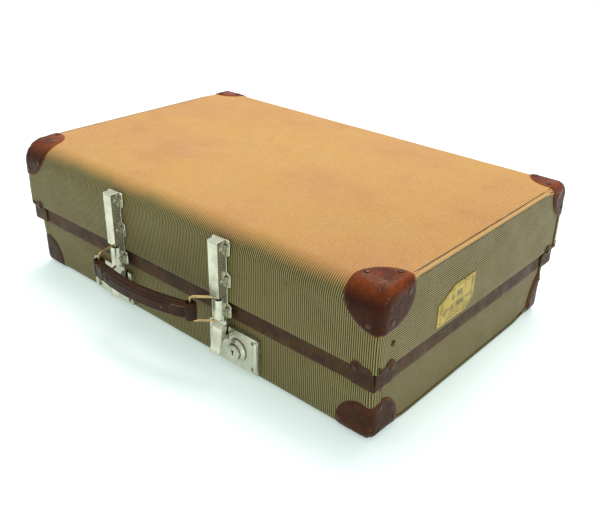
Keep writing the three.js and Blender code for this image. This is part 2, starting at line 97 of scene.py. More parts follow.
# ---------------------------------------------------------------- node helper
class Shader:
    """A material under construction: add() makes a node, links are made by passing sockets."""

    def __init__(self, name):
        self.material = bpy.data.materials.new(name)
        self.material.use_nodes = True
        self.tree = self.material.node_tree
        self.tree.nodes.clear()
        self.surface = self.add("BsdfPrincipled")
        self.add("OutputMaterial", {"Surface": self.surface.outputs[0]})
        self.where = self.add("TexCoord").outputs["Object"]

    def put(self, socket, value):
        if isinstance(value, bpy.types.NodeSocket):
            self.tree.links.new(value, socket)
        else:
            socket.default_value = value

    def add(self, kind, inputs=(), **settings):
        node = self.tree.nodes.new("ShaderNode" + kind)
        for key, value in settings.items():
            setattr(node, key, value)
        for key, value in dict(inputs).items():
            self.put(node.inputs[key], value)
        return node

    def split(self, vector):
        return self.add("SeparateXYZ", {0: vector}).outputs

    def uv(self):
        return self.add("UVMap", uv_map="stripes").outputs[0]

    def worn(self):
        return self.add("Attribute", attribute_name="worn").outputs["Fac"]

    def math(self, operation, a, b=0.0, c=0.0):
        return self.add("Math", {0: a, 1: b, 2: c}, operation=operation).outputs[0]

    def times(self, a, b):
        return self.math("MULTIPLY", a, b)

    def sine(self, value, pitch):
        return self.math("SINE", self.times(value, 2 * math.pi / pitch))

    def jitter(self, value, field, amount):
        """A value pushed up and down by a field of 0 to 1."""
        return self.math("MULTIPLY_ADD", self.math("SUBTRACT", field, 0.5), amount, value)

    def remap(self, value, low, high, to_low=0.0, to_high=1.0):
        limits = {"From Min": low, "From Max": high, "To Min": to_low, "To Max": to_high}
        node = self.add("MapRange", {"Value": value, **limits}, interpolation_type="SMOOTHSTEP")
        return node.outputs["Result"]

    def window(self, value, low, high, soft):
        """1 between low and high, with soft ends inside them."""
        return self.times(self.remap(value, low, low + soft), self.remap(value, high, high - soft))

    def mix(self, factor, a, b):
        node = self.add("Mix", data_type="RGBA", blend_type="MIX")
        for index, value in ((0, factor), (6, a), (7, b)):
            self.put(node.inputs[index], value)
        return node.outputs[2]

    def tint(self, colour, factor, share, red, green, blue):
        """A colour moved by a share towards a display colour, where factor is 1."""
        return self.mix(self.times(factor, share), colour, rgb(red, green, blue))

    def noise(self, scale, detail=4.0, roughness=0.55, vector=None):
        look = {"Scale": scale, "Detail": detail, "Roughness": roughness}
        return self.add("TexNoise", {"Vector": vector or self.where, **look}).outputs[0]

    def streaks(self, vector, scale, detail, roughness=0.55):
        """Noise with a scale of its own for each direction."""
        stretched = self.add("Mapping", {"Vector": vector, "Scale": scale}).outputs[0]
        return self.noise(1.0, detail, roughness, stretched)

    def cells(self, scale, feature="F1"):
        node = self.add("TexVoronoi", {"Vector": self.where, "Scale": scale}, feature=feature)
        return node.outputs["Distance"]

    def bump(self, height, strength, distance, under=None):
        node = self.add("Bump", {"Height": height, "Strength": strength, "Distance": distance})
        if under is not None:
            self.put(node.inputs["Normal"], under)
        return node.outputs[0]

    def finish(self, **inputs):
        for key, value in inputs.items():
            self.put(self.surface.inputs[key.replace("_", " ")], value)
        return self.material


def rgb(red, green, blue):
    """A display colour, 0 to 255, as the linear colour that a shader takes."""
    def linear(value):
        value /= 255
        return value / 12.92 if value <= 0.04045 else ((value + 0.055) / 1.055) ** 2.4
    return (linear(red), linear(green), linear(blue), 1.0)


# ---------------------------------------------------------------- materials
STRIPE_PITCH = 2.6
WEAVE_PITCH = (0.65, 0.8)
# heights over which the lid's top turns to its painted lit colours
LIT_TOP_LOW, LIT_TOP_HIGH = 0.1635, 0.1825


def lit_top_palette(s, stripe, blotch, colour, lit_top_pair):
    """The striped colour painted tan, lighter and of less contrast above the shoulder as painted light
    and painted sheen from above, rosier in patches, and darker towards the right and front as painted
    shade.
    """
    x, y, z = s.split(s.where)
    rosy = s.mix(stripe, rgb(178, 122, 66), rgb(210, 160, 98))
    tan = s.mix(s.remap(s.noise(7.0, 3.0), 0.38, 0.66), s.mix(stripe, *lit_top_pair), rosy)
    # painted shade: the top made darker towards the right and front
    shade_right_front = s.remap(s.math("SUBTRACT", x, s.times(y, 0.6)), -0.05, 0.42, 0.0, 0.5)
    tan = s.mix(shade_right_front, tan, s.mix(0.55, tan, rgb(150, 92, 40)))
    return s.mix(s.remap(s.jitter(z, blotch, 0.016), LIT_TOP_LOW, LIT_TOP_HIGH), colour, tan)


def striped_cloth(name, dark, light, lit_top_pair=None):
    """Fine two-tone stripes, from the UV map in mm; the last argument is the pair of colours that the
    top is painted in, as painted light.
    """
    s = Shader(name)
    uv = s.uv()
    across, along, _ = s.split(uv)
    across = s.math("MULTIPLY_ADD", s.streaks(uv, (0.03, 0.006, 1), 2.0), 1.6, across)
    slub = s.streaks(uv, (1.6, 0.09, 1), 3.0, 0.7)
    stripe = s.remap(s.jitter(s.sine(across, STRIPE_PITCH), slub, 0.8), -0.42, 0.5)
    weave = s.times(s.sine(across, WEAVE_PITCH[0]), s.sine(along, WEAVE_PITCH[1]))
    blotch = s.noise(14.0, 5.0, 0.6)
    colour = s.mix(stripe, dark, light)
    if lit_top_pair:
        colour = lit_top_palette(s, stripe, blotch, colour, lit_top_pair)
    # stains, specks, dust and hair-fine scratches
    stained = s.mix(0.5, colour, rgb(70, 54, 28))
    colour = s.mix(s.remap(blotch, 0.3, 0.75, 0.0, 0.34), colour, stained)
    speck = s.times(s.remap(s.cells(40.0), 0.075, 0.035), s.remap(s.noise(9.0), 0.5, 0.62))
    colour = s.tint(colour, speck, 0.7, 70, 48, 28)
    colour = s.tint(colour, s.remap(s.noise(420.0, 3.0, 0.6), 0.3, 0.7), 0.16, 40, 32, 18)
    hair = s.math("ABSOLUTE", s.math("SUBTRACT", s.noise(9.0, 2.0, 0.4), 0.5))
    scratch = s.times(s.remap(hair, 0.0016, 0.0004), s.remap(s.noise(26.0, 2.0), 0.6, 0.66))
    colour = s.tint(colour, scratch, 0.7, 74, 46, 22)
    # pale where the wear value is below 0; dark and ragged where it is above, which on the lid's cloth
    # is painted shadow along the flap edges and a dark line on the top
    worn = s.worn()
    ragged = s.streaks(uv, (0.5, 0.05, 1), 4.0, 0.75)
    colour = s.tint(colour, s.remap(worn, -0.25, -0.8), 0.5, 196, 168, 112)
    colour = s.tint(colour, s.remap(s.jitter(worn, ragged, 1.3), 0.52, 0.66), 0.88, 54, 42, 20)
    normal = s.bump(s.math("MULTIPLY_ADD", weave, 0.1, stripe), 0.3, 0.0003)
    return s.finish(Base_Color=colour, Roughness=s.remap(s.noise(30.0), 0.3, 0.7, 0.5, 0.66),
                    Normal=s.bump(blotch, 0.12, 0.004, normal), Sheen_Weight=0.03,
                    Sheen_Roughness=0.5, Specular_IOR_Level=0.2)


def pressed_fibre(name, base, deep, shine, grain, shade_sides=False):
    """Lacquered fibreboard: mottled, crackled, rubbed paler at the rim; with the last flag its sides are
    painted darker below the top as painted shade, leaving the top lighter as if lit.
    """
    s = Shader(name)
    mottle = s.noise(34.0, 6.0, 0.62)
    fine = s.noise(260.0, 4.0, 0.6)
    cracks = s.cells(150.0, "DISTANCE_TO_EDGE")
    colour = s.mix(s.remap(mottle, 0.34, 0.66), base, deep)
    colour = s.tint(colour, s.remap(fine, 0.35, 0.7), 0.35, 44, 22, 10)
    colour = s.tint(colour, s.remap(cracks, 0.045, 0.0), 0.35, 26, 13, 7)
    # painted shade: below the lid's top the fibre turns dark, so the top reads as lit
    if shade_sides:
        level = s.jitter(s.split(s.where)[2], mottle, 0.03)
        dark = s.mix(mottle, rgb(50, 20, 6), rgb(27, 11, 4))
        colour = s.mix(s.remap(level, 0.181, 0.163, 0.0, 0.85), colour, dark)
    rubbed = s.remap(s.jitter(s.worn(), mottle, 0.8), 0.62, 1.05)
    colour = s.tint(colour, rubbed, 0.5, 134, 76, 40)
    normal = s.bump(mottle, 0.3, 0.0022)
    normal = s.bump(fine, grain, 0.0005, normal)
    normal = s.bump(s.remap(cracks, 0.0, 0.06), 0.25, 0.0003, normal)
    rough = s.remap(s.noise(90.0, 4.0), 0.3, 0.7, shine, shine + 0.22)
    return s.finish(Base_Color=colour, Roughness=rough, Normal=normal, Coat_Weight=0.05,
                    Coat_Roughness=0.12, Specular_IOR_Level=0.07)


def metal(name, bright, dull, grime_and_shade, rough_low, rough_high):
    """Plated or painted metal: clouded, pitted, brushed upright, with grime and painted shade darkening
    its crevices and holes.
    """
    s = Shader(name)
    cloud = s.noise(55.0, 5.0, 0.6)
    spot = s.times(s.remap(s.cells(420.0), 0.16, 0.06), s.remap(cloud, 0.5, 0.62))
    colour = s.mix(s.remap(cloud, 0.35, 0.68), rgb(*bright), rgb(*dull))
    colour = s.tint(colour, spot, 0.35, *grime_and_shade)
    colour = s.tint(colour, s.remap(s.noise(900.0, 3.0, 0.6), 0.5, 0.75), 0.15, *grime_and_shade)
    # grime and painted shade: ambient occlusion darkens crevices, recesses and the keyhole
    crevice_dirt_and_shade = s.add("AmbientOcclusion", {"Distance": 0.0028}, samples=8).outputs["AO"]
    colour = s.tint(colour, s.remap(s.jitter(crevice_dirt_and_shade, cloud, 0.5), 0.72, 0.3), 0.6, *grime_and_shade)
    normal = s.bump(s.streaks(s.where, (900.0, 900.0, 40.0), 2.0), 0.04, 0.0002)
    normal = s.bump(cloud, 0.06, 0.0012, normal)
    rough = s.remap(s.math("MULTIPLY_ADD", spot, 0.3, cloud), 0.3, 0.8, rough_low, rough_high)
    return s.finish(Base_Color=colour, Metallic=0.85, Roughness=rough, Normal=normal)


def grip_leather():
    s = Shader("grip_leather")
    grain = s.cells(900.0, "DISTANCE_TO_EDGE")
    cloud = s.noise(48.0, 5.0, 0.65)
    colour = s.mix(s.remap(cloud, 0.32, 0.68), rgb(58, 30, 12), rgb(36, 19, 9))
    colour = s.tint(colour, s.remap(s.jitter(s.worn(), cloud, 0.9), 0.45, 0.95), 0.4, 92, 56, 30)
    normal = s.bump(s.remap(grain, 0.0, 0.12), 0.3, 0.0002)
    return s.finish(Base_Color=colour, Roughness=s.remap(s.noise(160.0), 0.3, 0.7, 0.3, 0.5),
                    Normal=s.bump(cloud, 0.25, 0.0015, normal), Coat_Weight=0.03,
                    Coat_Roughness=0.25, Specular_IOR_Level=0.13)


def lining_paper():
    s = Shader("lining_paper")
    cloud = s.noise(18.0, 5.0, 0.6)
    fibre = s.streaks(s.where, (500.0, 500.0, 160.0), 3.0)
    colour = s.mix(s.remap(cloud, 0.42, 0.75), rgb(206, 190, 156), rgb(182, 160, 118))
    colour = s.tint(colour, s.remap(fibre, 0.4, 0.7), 0.18, 120, 100, 70)
    colour = s.tint(colour, s.remap(s.cells(160.0), 0.3, 0.22), 0.28, 120, 92, 58)
    return s.finish(Base_Color=colour, Roughness=s.remap(cloud, 0.3, 0.7, 0.68, 0.85),
                    Normal=s.bump(fibre, 0.2, 0.0002))


def label_paper():
    """Yellow paper with a plain frame line, two bars and rubbed-off patches; no lettering."""
    s = Shader("label_paper")
    across, along, _ = s.split(s.uv())
    nearest = [s.math("MINIMUM", value, s.math("SUBTRACT", 1.0, value)) for value in (across, along)]
    print_marks = s.window(s.math("MINIMUM", *nearest), 0.055, 0.1, 0.015)
    for left, right, low, high in ((0.14, 0.86, 0.3, 0.46), (0.34, 0.66, 0.58, 0.78)):
        bar = s.times(s.window(along, low, high, 0.02), s.window(across, left, right, 0.02))
        print_marks = s.math("MAXIMUM", print_marks, bar)
    cloud = s.noise(60.0, 5.0, 0.65)
    colour = s.mix(s.remap(cloud, 0.4, 0.7), rgb(176, 150, 44), rgb(142, 118, 36))
    ink = s.times(print_marks, s.remap(s.noise(70.0), 0.36, 0.5))
    colour = s.tint(colour, ink, 0.72, 66, 54, 28)
    colour = s.tint(colour, s.remap(s.noise(95.0, 6.0, 0.7), 0.6, 0.66), 0.75, 104, 92, 58)
    return s.finish(Base_Color=colour, Roughness=s.remap(cloud, 0.3, 0.7, 0.4, 0.6),
                    Normal=s.bump(cloud, 0.3, 0.0008))


def thread():
    s = Shader("thread")
    twist = s.math("SINE", s.times(s.noise(700.0), 20.0))
    colour = s.mix(s.remap(twist, -1.0, 1.0), rgb(104, 78, 42), rgb(140, 112, 66))
    return s.finish(Base_Color=colour, Roughness=s.remap(twist, -1.0, 1.0, 0.6, 0.8),
                    Normal=s.bump(twist, 0.3, 0.0002))


def floor_paint():
    s = Shader("floor")
    colour = s.mix(s.remap(s.noise(3.0, 3.0), 0.3, 0.7), rgb(222, 224, 222), rgb(214, 217, 216))
    return s.finish(Base_Color=colour, Roughness=0.6, Emission_Color=rgb(226, 250, 243),
                    Emission_Strength=0.46)


# the last pair: the colours of the lid's top under painted light and painted sheen
CLOTH_WRAP = striped_cloth("cloth_wrap", rgb(44, 38, 14), rgb(150, 138, 82),
                           (rgb(176, 124, 58), rgb(218, 170, 96)))
CLOTH_END = striped_cloth("cloth_end", rgb(70, 60, 28), rgb(146, 132, 86))
# True: the lid caps' sides take painted shade
CAP_FIBRE = pressed_fibre("corner_fibre", rgb(140, 66, 24), rgb(84, 36, 12), 0.24, 0.3, True)
# a darker copy of the cap fibre for the base's caps: its darkness is painted shade
SHADED_CAP_FIBRE = pressed_fibre("shaded_base_corner_fibre", rgb(78, 42, 20), rgb(46, 28, 15), 0.28, 0.3)
RIM_FIBRE = pressed_fibre("rim_fibre", rgb(84, 58, 32), rgb(58, 40, 22), 0.36, 0.35)
NICKEL = metal("nickel", (208, 206, 184), (186, 185, 163), (62, 60, 42), 0.22, 0.34)
WORN_NICKEL = metal("worn_nickel", (136, 134, 112), (112, 106, 84), (52, 46, 32), 0.35, 0.55)
BRASS = metal("brass", (206, 182, 128), (168, 142, 92), (76, 60, 34), 0.24, 0.42)
RIVET = metal("rivet", (84, 56, 34), (54, 34, 20), (26, 16, 10), 0.24, 0.4)
LEATHER = grip_leather()
LINING = lining_paper()
LABEL = label_paper()
THREAD = thread()


# ---------------------------------------------------------------- mesh helpers
def piece(name, verts, faces, material, body, slot, replaces=(),
          uv=None, worn=None, angle=40, bevel=0.0):
    """One mesh piece from millimetre points. uv and the wear-and-shade values hold a value for every
    point.
    """
    mesh = bpy.data.meshes.new(name)
    mesh.from_pydata([(x * MM, y * MM, z * MM) for x, y, z in verts], [], faces)
    work = bmesh.new()
    work.from_mesh(mesh)
    bmesh.ops.recalc_face_normals(work, faces=work.faces)
    work.to_mesh(mesh)
    work.free()
    if uv is not None:
        layer = mesh.uv_layers.new(name="stripes")
        for loop in mesh.loops:
            layer.data[loop.index].uv = uv[loop.vertex_index]
    if worn is not None:
        values = [float(w) for w in worn]
        mesh.attributes.new("worn", "FLOAT", "POINT").data.foreach_set("value", values)
    mesh.materials.append(material)
    obj = stand(name, mesh)
    if bevel:
        mod = obj.modifiers.new("bevel", "BEVEL")
        mod.width, mod.segments, mod.limit_method = bevel * MM, 2, "ANGLE"
        mod.angle_limit = math.radians(38)
        mod.harden_normals = False
    mesh.shade_smooth()
    mesh.set_sharp_from_angle(angle=math.radians(angle))
    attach(obj, body)
    if replaces:
        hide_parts(*replaces)
    return obj


class Parts:
    """Several closed shells gathered into one piece."""

    def __init__(self):
        self.verts, self.faces, self.worn = [], [], []

    def add(self, verts, faces, worn=0.0):
        base = len(self.verts)
        self.verts += [tuple(v) for v in verts]
        self.faces += [tuple(base + i for i in face) for face in faces]
        self.worn += [worn] * len(verts) if isinstance(worn, float) else worn
        return self

    def make(self, name, material, body, slot, replaces=(), **options):
        piece(name, self.verts, self.faces, material, body, slot, replaces, worn=self.worn, **options)

    def make_nickel(self, name, body, replaces=(), material=NICKEL, angle=35, **options):
        self.make(name, material, body, "nickel", replaces, angle=angle, **options)


def grid_faces(rows, columns, start=0, wrap=False, loop=False):
    """Quads between rows of points; wrap joins the last column to the first, and loop the last row."""
    faces = []
    for i in range(rows if loop else rows - 1):
        a, b = start + i * columns, start + (i + 1) % rows * columns
        for j in range(columns if wrap else columns - 1):
            k = (j + 1) % columns
            faces.append((a + j, a + k, b + k, b + j))
    return faces


def disc_faces(rings, segments):
    """A middle point and the rings round it."""
    fan = [(0, 1 + k, 1 + (k + 1) % segments) for k in range(segments)]
    return fan + grid_faces(rings, segments, 1, wrap=True)


def slab_faces(rows, columns):
    """A closed slab: a grid of points, the same grid again behind it, and the strip round its border."""
    count = rows * columns
    last = count - columns
    front = grid_faces(rows, columns)
    border = [*range(0, count, columns), *range(last + 1, count),
              *range(last - 1, columns - 2, -columns), *range(columns - 2, 0, -1)]
    strip = [(a, b, b + count, a + count) for a, b in zip(border, border[1:] + border[:1])]
    return front + [tuple(i + count for i in face)[::-1] for face in front] + strip


def circle(count):
    """The cosine and sine of equal steps round a turn."""
    turns = [2 * math.pi * k / count for k in range(count)]
    return [(math.cos(t), math.sin(t)) for t in turns]


def spread(low, high, steps):
    """Values from low to high in equal steps, both ends included."""
    return [low + (high - low) * k / steps for k in range(steps + 1)]


def smoothstep(value, low, high):
    t = max(0.0, min(1.0, (value - low) / (high - low)))
    return t * t * (3 - 2 * t)


def bell(value, width, centre=0.0):
    return math.exp(-((value - centre) / width) ** 2)


def uneven(x, y, z):
    """Smooth noise of a place, -1 to 1."""
    return noise.noise(Vector((x, y, z)))


def prism(outline, axis, low, high):
    """A flat outline, (a, b) points, pushed along an axis."""
    order = {"X": (2, 0, 1), "Y": (0, 2, 1), "Z": (0, 1, 2)}[axis]
    count = len(outline)
    verts = [tuple((a, b, t)[i] for i in order) for t in (low, high) for a, b in outline]
    ends = [tuple(range(count))[::-1], tuple(range(count, 2 * count))]
    return verts, ends + grid_faces(2, count, wrap=True)


def rounded(x0, x1, y0, y1, radius, steps=5):
    """Points of a rectangle with round corners."""
    corners = ((x0 + radius, y0 + radius, 180), (x1 - radius, y0 + radius, 270),
               (x1 - radius, y1 - radius, 0), (x0 + radius, y1 - radius, 90))
    points = []
    for x, y, start in corners:
        turns = [math.radians(a) for a in spread(start, start + 90, steps)]
        points += [(x + radius * math.cos(a), y + radius * math.sin(a)) for a in turns]
    return points


def basis(direction):
    """Two unit vectors across a direction, and the direction."""
    d = Vector(direction).normalized()
    helper = Vector((0, 0, 1)) if abs(d.z) < 0.9 else Vector((1, 0, 0))
    a = d.cross(helper).normalized()
    return a, d.cross(a).normalized(), d


def revolve(profile, origin, direction, segments=24, ring=False):
    """A turned shape from (radius, height) pairs; poles of radius 0 close it, or it is a ring."""
    a, b, d = basis(direction)
    verts, rings, faces = [], [], []
    for radius, height in profile:
        spots = circle(segments) if radius else [(0.0, 0.0)]
        rings.append(range(len(verts), len(verts) + len(spots)))
        verts += [Vector(origin) + d * height + a * (radius * c) + b * (radius * s) for c, s in spots]
    for low, high in zip(rings, rings[1:] + rings[:1] if ring else rings[1:]):
        for i in range(segments):
            j = i + 1
            quad = (low[i % len(low)], low[j % len(low)], high[j % len(high)], high[i % len(high)])
            faces.append(tuple(dict.fromkeys(quad)))
    return verts, faces


def tube(path, radius, sides=12, closed=False):
    """A round wire along a path of points; radius is a function of a point's place in the list."""
    points = [Vector(p) for p in path]
    count = len(points)
    a, verts = None, []
    for i, p in enumerate(points):
        ahead = points[(i + 1) % count] if closed or i + 1 < count else p
        behind = points[i - 1] if closed or i else p
        d = (ahead - behind).normalized()
        a = basis(d)[0] if a is None else (a - d * a.dot(d)).normalized()
        b = d.cross(a)
        verts += [p + a * (radius(i) * c) + b * (radius(i) * s) for c, s in circle(sides)]
    faces = grid_faces(count, sides, wrap=True)
    last = (count - 1) * sides
    if not closed:
        return verts, faces + [tuple(range(sides))[::-1], tuple(range(last, last + sides))]
    # turn the last join so that the seam of the wire meets itself
    shift = min(range(sides), key=lambda s: (verts[s] - verts[last]).length)
    for k in range(sides):
        m = (k + 1) % sides
        faces.append((last + k, last + m, (m + shift) % sides, (k + shift) % sides))
    return verts, faces


def fillet(corners, radius, steps):
    """A closed path through corners, each rounded."""
    points = []
    for i, corner in enumerate(corners):
        p = Vector(corner)
        before = Vector(corners[i - 1]) - p
        after = Vector(corners[(i + 1) % len(corners)]) - p
        a, b = p + before.normalized() * radius, p + after.normalized() * radius
        points += [a * (1 - t) ** 2 + p * (2 * t * (1 - t)) + b * t ** 2 for t in spread(0, 1, steps)]
    return points


# ---------------------------------------------------------------- the case's outer surface
CORNER_ROUND, EDGE_ROUND, UPRIGHT_ROUND = 9.0, 3.2, 5.0
LIP_RISE = 1.2


class Half:
    """Half of the case as an extrusion along X. `up` is +1 for the lid and -1 for the base."""

    def __init__(self, body, up, bends):
        low, high = box(f"{body}_wrap_board")
        self.body, self.up, self.bends = body, up, bends
        self.half, self.front, self.rear = high.x, low.y, high.y
        self.middle = (low.y + high.y) / 2
        self.face, self.lip = (high.z, low.z) if up > 0 else (low.z, high.z)

    def edge_round(self, y, z):
        """Radius of the edge between the wrap and the end face at a point of the profile."""
        near = min(math.hypot(y - edge, z - self.face) for edge in (self.front, self.rear))
        upright = smoothstep(abs(z - self.face), 8, 26)
        far = EDGE_ROUND + (UPRIGHT_ROUND - EDGE_ROUND) * upright
        return far + (CORNER_ROUND - far) * (1 - smoothstep(near, 30, 62))

    def profile(self, y, z):
        """Signed distance of (y, z) from the wrap's section, which is open on the lip side."""
        bend = self.bends[0] if y < self.middle else self.bends[1]
        dy = abs(y - self.middle) - ((self.rear - self.front) / 2 - bend)
        dz = (z - self.face) * self.up + bend
        return min(max(dy, dz), 0.0) + math.hypot(max(dy, 0.0), max(dz, 0.0)) - bend

    def distance(self, p):
        r = self.edge_round(p[1], p[2])
        d2 = self.profile(p[1], p[2]) + r
        dx = abs(p[0]) - self.half + r
        return min(max(d2, dx), 0.0) + math.hypot(max(d2, 0.0), max(dx, 0.0)) - r

    def normal(self, p):
        step = 0.05
        slopes = []
        for axis in range(3):
            a, b = list(p), list(p)
            a[axis] += step
            b[axis] -= step
            slopes.append(self.distance(a) - self.distance(b))
        return Vector(slopes).normalized()

    def land(self, centre, direction, proud):
        """The point on the ray from centre where the surface, raised by proud, is met."""
        d = Vector(direction).normalized()
        t = 260.0
        for _ in range(40):
            gap = self.distance(centre + d * t) - proud
            t -= gap * 0.85
            if abs(gap) < 0.01:
                break
        return centre + d * t


LID = Half("lid", 1, (28.0, 15.0))
BASE = Half("base", -1, (11.0, 11.0))


def section_points(half):
    """The wrap's section from front to rear over the face: (y, z, normal y, normal z, run)."""
    up, front, rear, face = half.up, half.front, half.rear, half.face
    points = []

    def line(y0, z0, y1, z1, ny, nz, steps):
        shares = [i / steps for i in range(steps)]
        points.extend((y0 + (y1 - y0) * t, z0 + (z1 - z0) * t, ny, nz) for t in shares)

    def arc(y, z, r, start, end, steps):
        for i in range(steps):
            a = math.radians(start + (end - start) * i / steps)
            c, s = math.cos(a), up * math.sin(a)
            points.append((y + r * c, z + r * s, c, s))

    front_bend, rear_bend = half.bends
    front_shoulder, rear_shoulder = face - up * front_bend, face - up * rear_bend
    foot = half.lip + up * LIP_RISE
    line(front, foot, front, front_shoulder, -1, 0, 9)
    arc(front + front_bend, front_shoulder, front_bend, 180, 90, 12)
    line(front + front_bend, face, rear - rear_bend, face, 0, up, 30)
    arc(rear - rear_bend, rear_shoulder, rear_bend, 90, 0, 10)
    line(rear, rear_shoulder, rear, foot, 1, 0, 9)
    points.append((rear, foot, 1, 0))
    run, out = 0.0, []
    for i, p in enumerate(points):
        if i:
            run += math.hypot(p[0] - points[i - 1][0], p[1] - points[i - 1][1])
        out.append(p + (run,))
    return out


BOARD = 4.0
SKIN = 0.9
FLAP_FRONT, FLAP_REAR, FLAP_TOP = 15.0, 9.0, 3.6
END_STEPS = (0.0, 0.8, 1.6, 2.4, 3.2, 4.2, 5.5, 7.5, 11.0)
LENGTHWISE_SPANS = 52
END_SINK = 0.75
END_INSET = 2.4


def flap_width(half, y, z):
    """How far the wrap is turned over on the end face."""
    tall = FLAP_FRONT if y < half.middle else FLAP_REAR
    return FLAP_TOP + (tall - FLAP_TOP) * smoothstep(abs(z - half.face), 5, 16)


def slack(x, y, z, amount):
    """A small soft unevenness of board under cloth."""
    p = Vector((x, y, z))
    return amount * noise.noise(p * 0.011) + amount * 0.35 * noise.noise(p * 0.04)


def lengthwise(edge):
    """Places along the wrap from one end to the other, closer together near the ends."""
    middle = spread(18.0 - edge, edge - 18.0, LENGTHWISE_SPANS)
    return [-edge + step for step in END_STEPS] + middle + [edge - step for step in reversed(END_STEPS)]


def edge_wear_and_shade(gap, rim, on_top, at_rear):
    """Marks on the lid's cloth near its ends: dark lines, above 0, painted shadow where the turned-over
    flaps meet the end panels and a dark line on the top, beside a pale rolled edge, below 0.
    """
    if on_top:
        return 0.95 if rim else -0.7 if gap < 2.6 else bell(gap, 1.4, 4.5)
    if at_rear and gap < 4.4:
        return 1.0 if rim == 1.0 else -0.8
    return 0.0


def folded_section(half):
    """The section with the cloth going round the board's edge and up inside, at both lips."""
    start = [(half.front + BOARD, half.lip + half.up * 9.0, 1, 0, -16.0)]
    for step in (4, 3, 2, 1):
        a = math.radians(180 + 45 * step)
        start.append((half.front + BOARD / 2 * (1 + math.cos(a)),
                      half.lip + half.up * (LIP_RISE + 0.3 * BOARD * math.sin(a)),
                      math.cos(a), half.up * math.sin(a), -float(step)))
    section = section_points(half)
    end_run = section[-1][4] + 5.0
    end = [(2 * half.middle - y, z, -ny, nz) for y, z, ny, nz, _ in reversed(start)]
    return start + section + [(*p, end_run + i) for i, p in enumerate(end)]


def rolled_end(edge, r, flap):
    """The turned-over strip and rolled edge of one end: (x, way back along the normal, stripe, rim)."""
    strip = []
    for k in (3, 2, 1, 0):
        extra = max(flap - r, 0.4) * k / 3
        strip.append((edge + r, r + extra, edge + r * math.pi / 2 + extra, 1.0 if k == 3 else 0.5))
    for k in (1, 2, 3):
        a = math.radians(90 * k / 4)
        strip.append((edge + r * math.cos(a), r - r * math.sin(a), edge + r * (math.pi / 2 - a), 0.0))
    return strip


def make_sheet(half, name, material, node, rows, verts, uv, worn):
    """Cloth from rows of points, made a closed solid inwards."""
    faces = grid_faces(rows, len(verts) // rows)
    obj = piece(f"{half.body}_{name}", verts, faces, material, half.body, "striped_cloth",
                (f"{half.body}_{node}",), uv=uv, worn=worn, angle=50)
    mod = obj.modifiers.new("thickness", "SOLIDIFY")
    mod.thickness = SKIN * MM
    mod.offset = -1.0
    mod.use_even_offset = False
    mod.use_rim = True


def make_cover(half):
    """The cloth over the bent board: wrap, rolled ends, turned-over strips and the folded lip."""
    verts, uv, worn = [], [], []
    rows = folded_section(half)
    for y, z, ny, nz, run in rows:
        outward = -1.0 if y < half.middle else 1.0
        at_lip = abs(z - half.lip) < 10
        inside = at_lip and ny * outward < -0.3
        fold_y, fold_z = (outward, 0.0) if at_lip else (ny, nz)
        r, flap = (0.6, 0.6) if inside else (half.edge_round(y, z), flap_width(half, y, z))
        edge = half.half - r
        strip = rolled_end(edge, r, flap)
        row = [(-x, -back, -stripe, rim) for x, back, stripe, rim in strip]
        row += [(x, None, x, 0.0) for x in lengthwise(edge)]
        row += [(x, -back, stripe, rim) for x, back, stripe, rim in reversed(strip)]
        for x, rise, stripe, rim in row:
            if rise is None:
                soft = smoothstep(abs(z - half.lip), 0, 20) * (1 - smoothstep(abs(x), edge - 30, edge))
                rise = -abs(slack(x, y, z, 0.5) * soft)
                verts.append((x, y + ny * rise, z + nz * rise))
            else:
                verts.append((x, y + fold_y * rise, z + fold_z * rise))
            uv.append((stripe, run))
            on_top, at_rear = nz > 0.7, y > half.middle and not inside
            worn.append(edge_wear_and_shade(half.half - abs(x), rim, on_top, at_rear) if half is LID else 0.0)
    make_sheet(half, "cover", CLOTH_WRAP, "wrap_board", len(rows), verts, uv, worn)


def make_end(half, side, word):
    """A cloth-covered end panel, a little behind the turned-over strips, folded under at the lip."""
    up, x = half.up, half.half - END_SINK
    tall = abs(half.face - half.lip)
    inner = half.half - BOARD
    verts, uv, worn = [], [], []

    def inset(bend, level):
        """How far the panel's edge stands in from the case's at a level, following the bend."""
        rise = max(level - tall + bend, 0.0)
        return bend - math.sqrt(max((bend - END_INSET) ** 2 - rise ** 2, 0.0))

    def row(level, depth, dark):
        z = half.lip + up * level
        y0 = half.front + (inset(half.bends[0], level) if depth is None else END_INSET)
        y1 = half.rear - (inset(half.bends[1], level) if depth is None else END_INSET)
        for share in spread(0, 0.96, 44)[:-1] + spread(0.96, 1.0, 12):
            y = y0 + (y1 - y0) * share
            soft = -abs(slack(300, y, z * 1.7, 0.45)) * smoothstep(tall - level, 0, 25)
            verts.append((side * (x + soft if depth is None else depth), y, z))
            uv.append((z, y))
            # painted shadow: dark lines where the top and rear flaps step onto the panel
            line = bell(tall - level, 1.483, FLAP_TOP + 0.8)
            line += 1.1 * bell(half.rear - y, 2.236, FLAP_REAR + 1.2)
            worn.append(line if dark else 0.0)

    # rows run from the lip to the face; each row goes from the front to the rear
    folded = ((9.0, inner), (5.0, inner), (0.9, inner + 0.2), (0.0, (x + inner) / 2), (0.5, x - 0.5))
    for level, depth in folded:
        row(level, depth, False)
    levels = spread(1.4, tall - 8.0, 22)[:-1] + spread(tall - 8.0, tall - 2.4, 8)
    for level in levels:
        row(level, None, half is LID and level > levels[0])
    rows = len(folded) + len(levels)
    make_sheet(half, f"end_{word}", CLOTH_END, f"end_panel_{word}", rows, verts, uv, worn)


make_cover(LID)
make_cover(BASE)
for side, word in SIDES:
    make_end(LID, side, word)
    make_end(BASE, side, word)


# ---------------------------------------------------------------- corner caps and rivets
CAP_RINGS = 20
CAP_SIDE_STEPS = 30
CAP_UNDER = -0.6


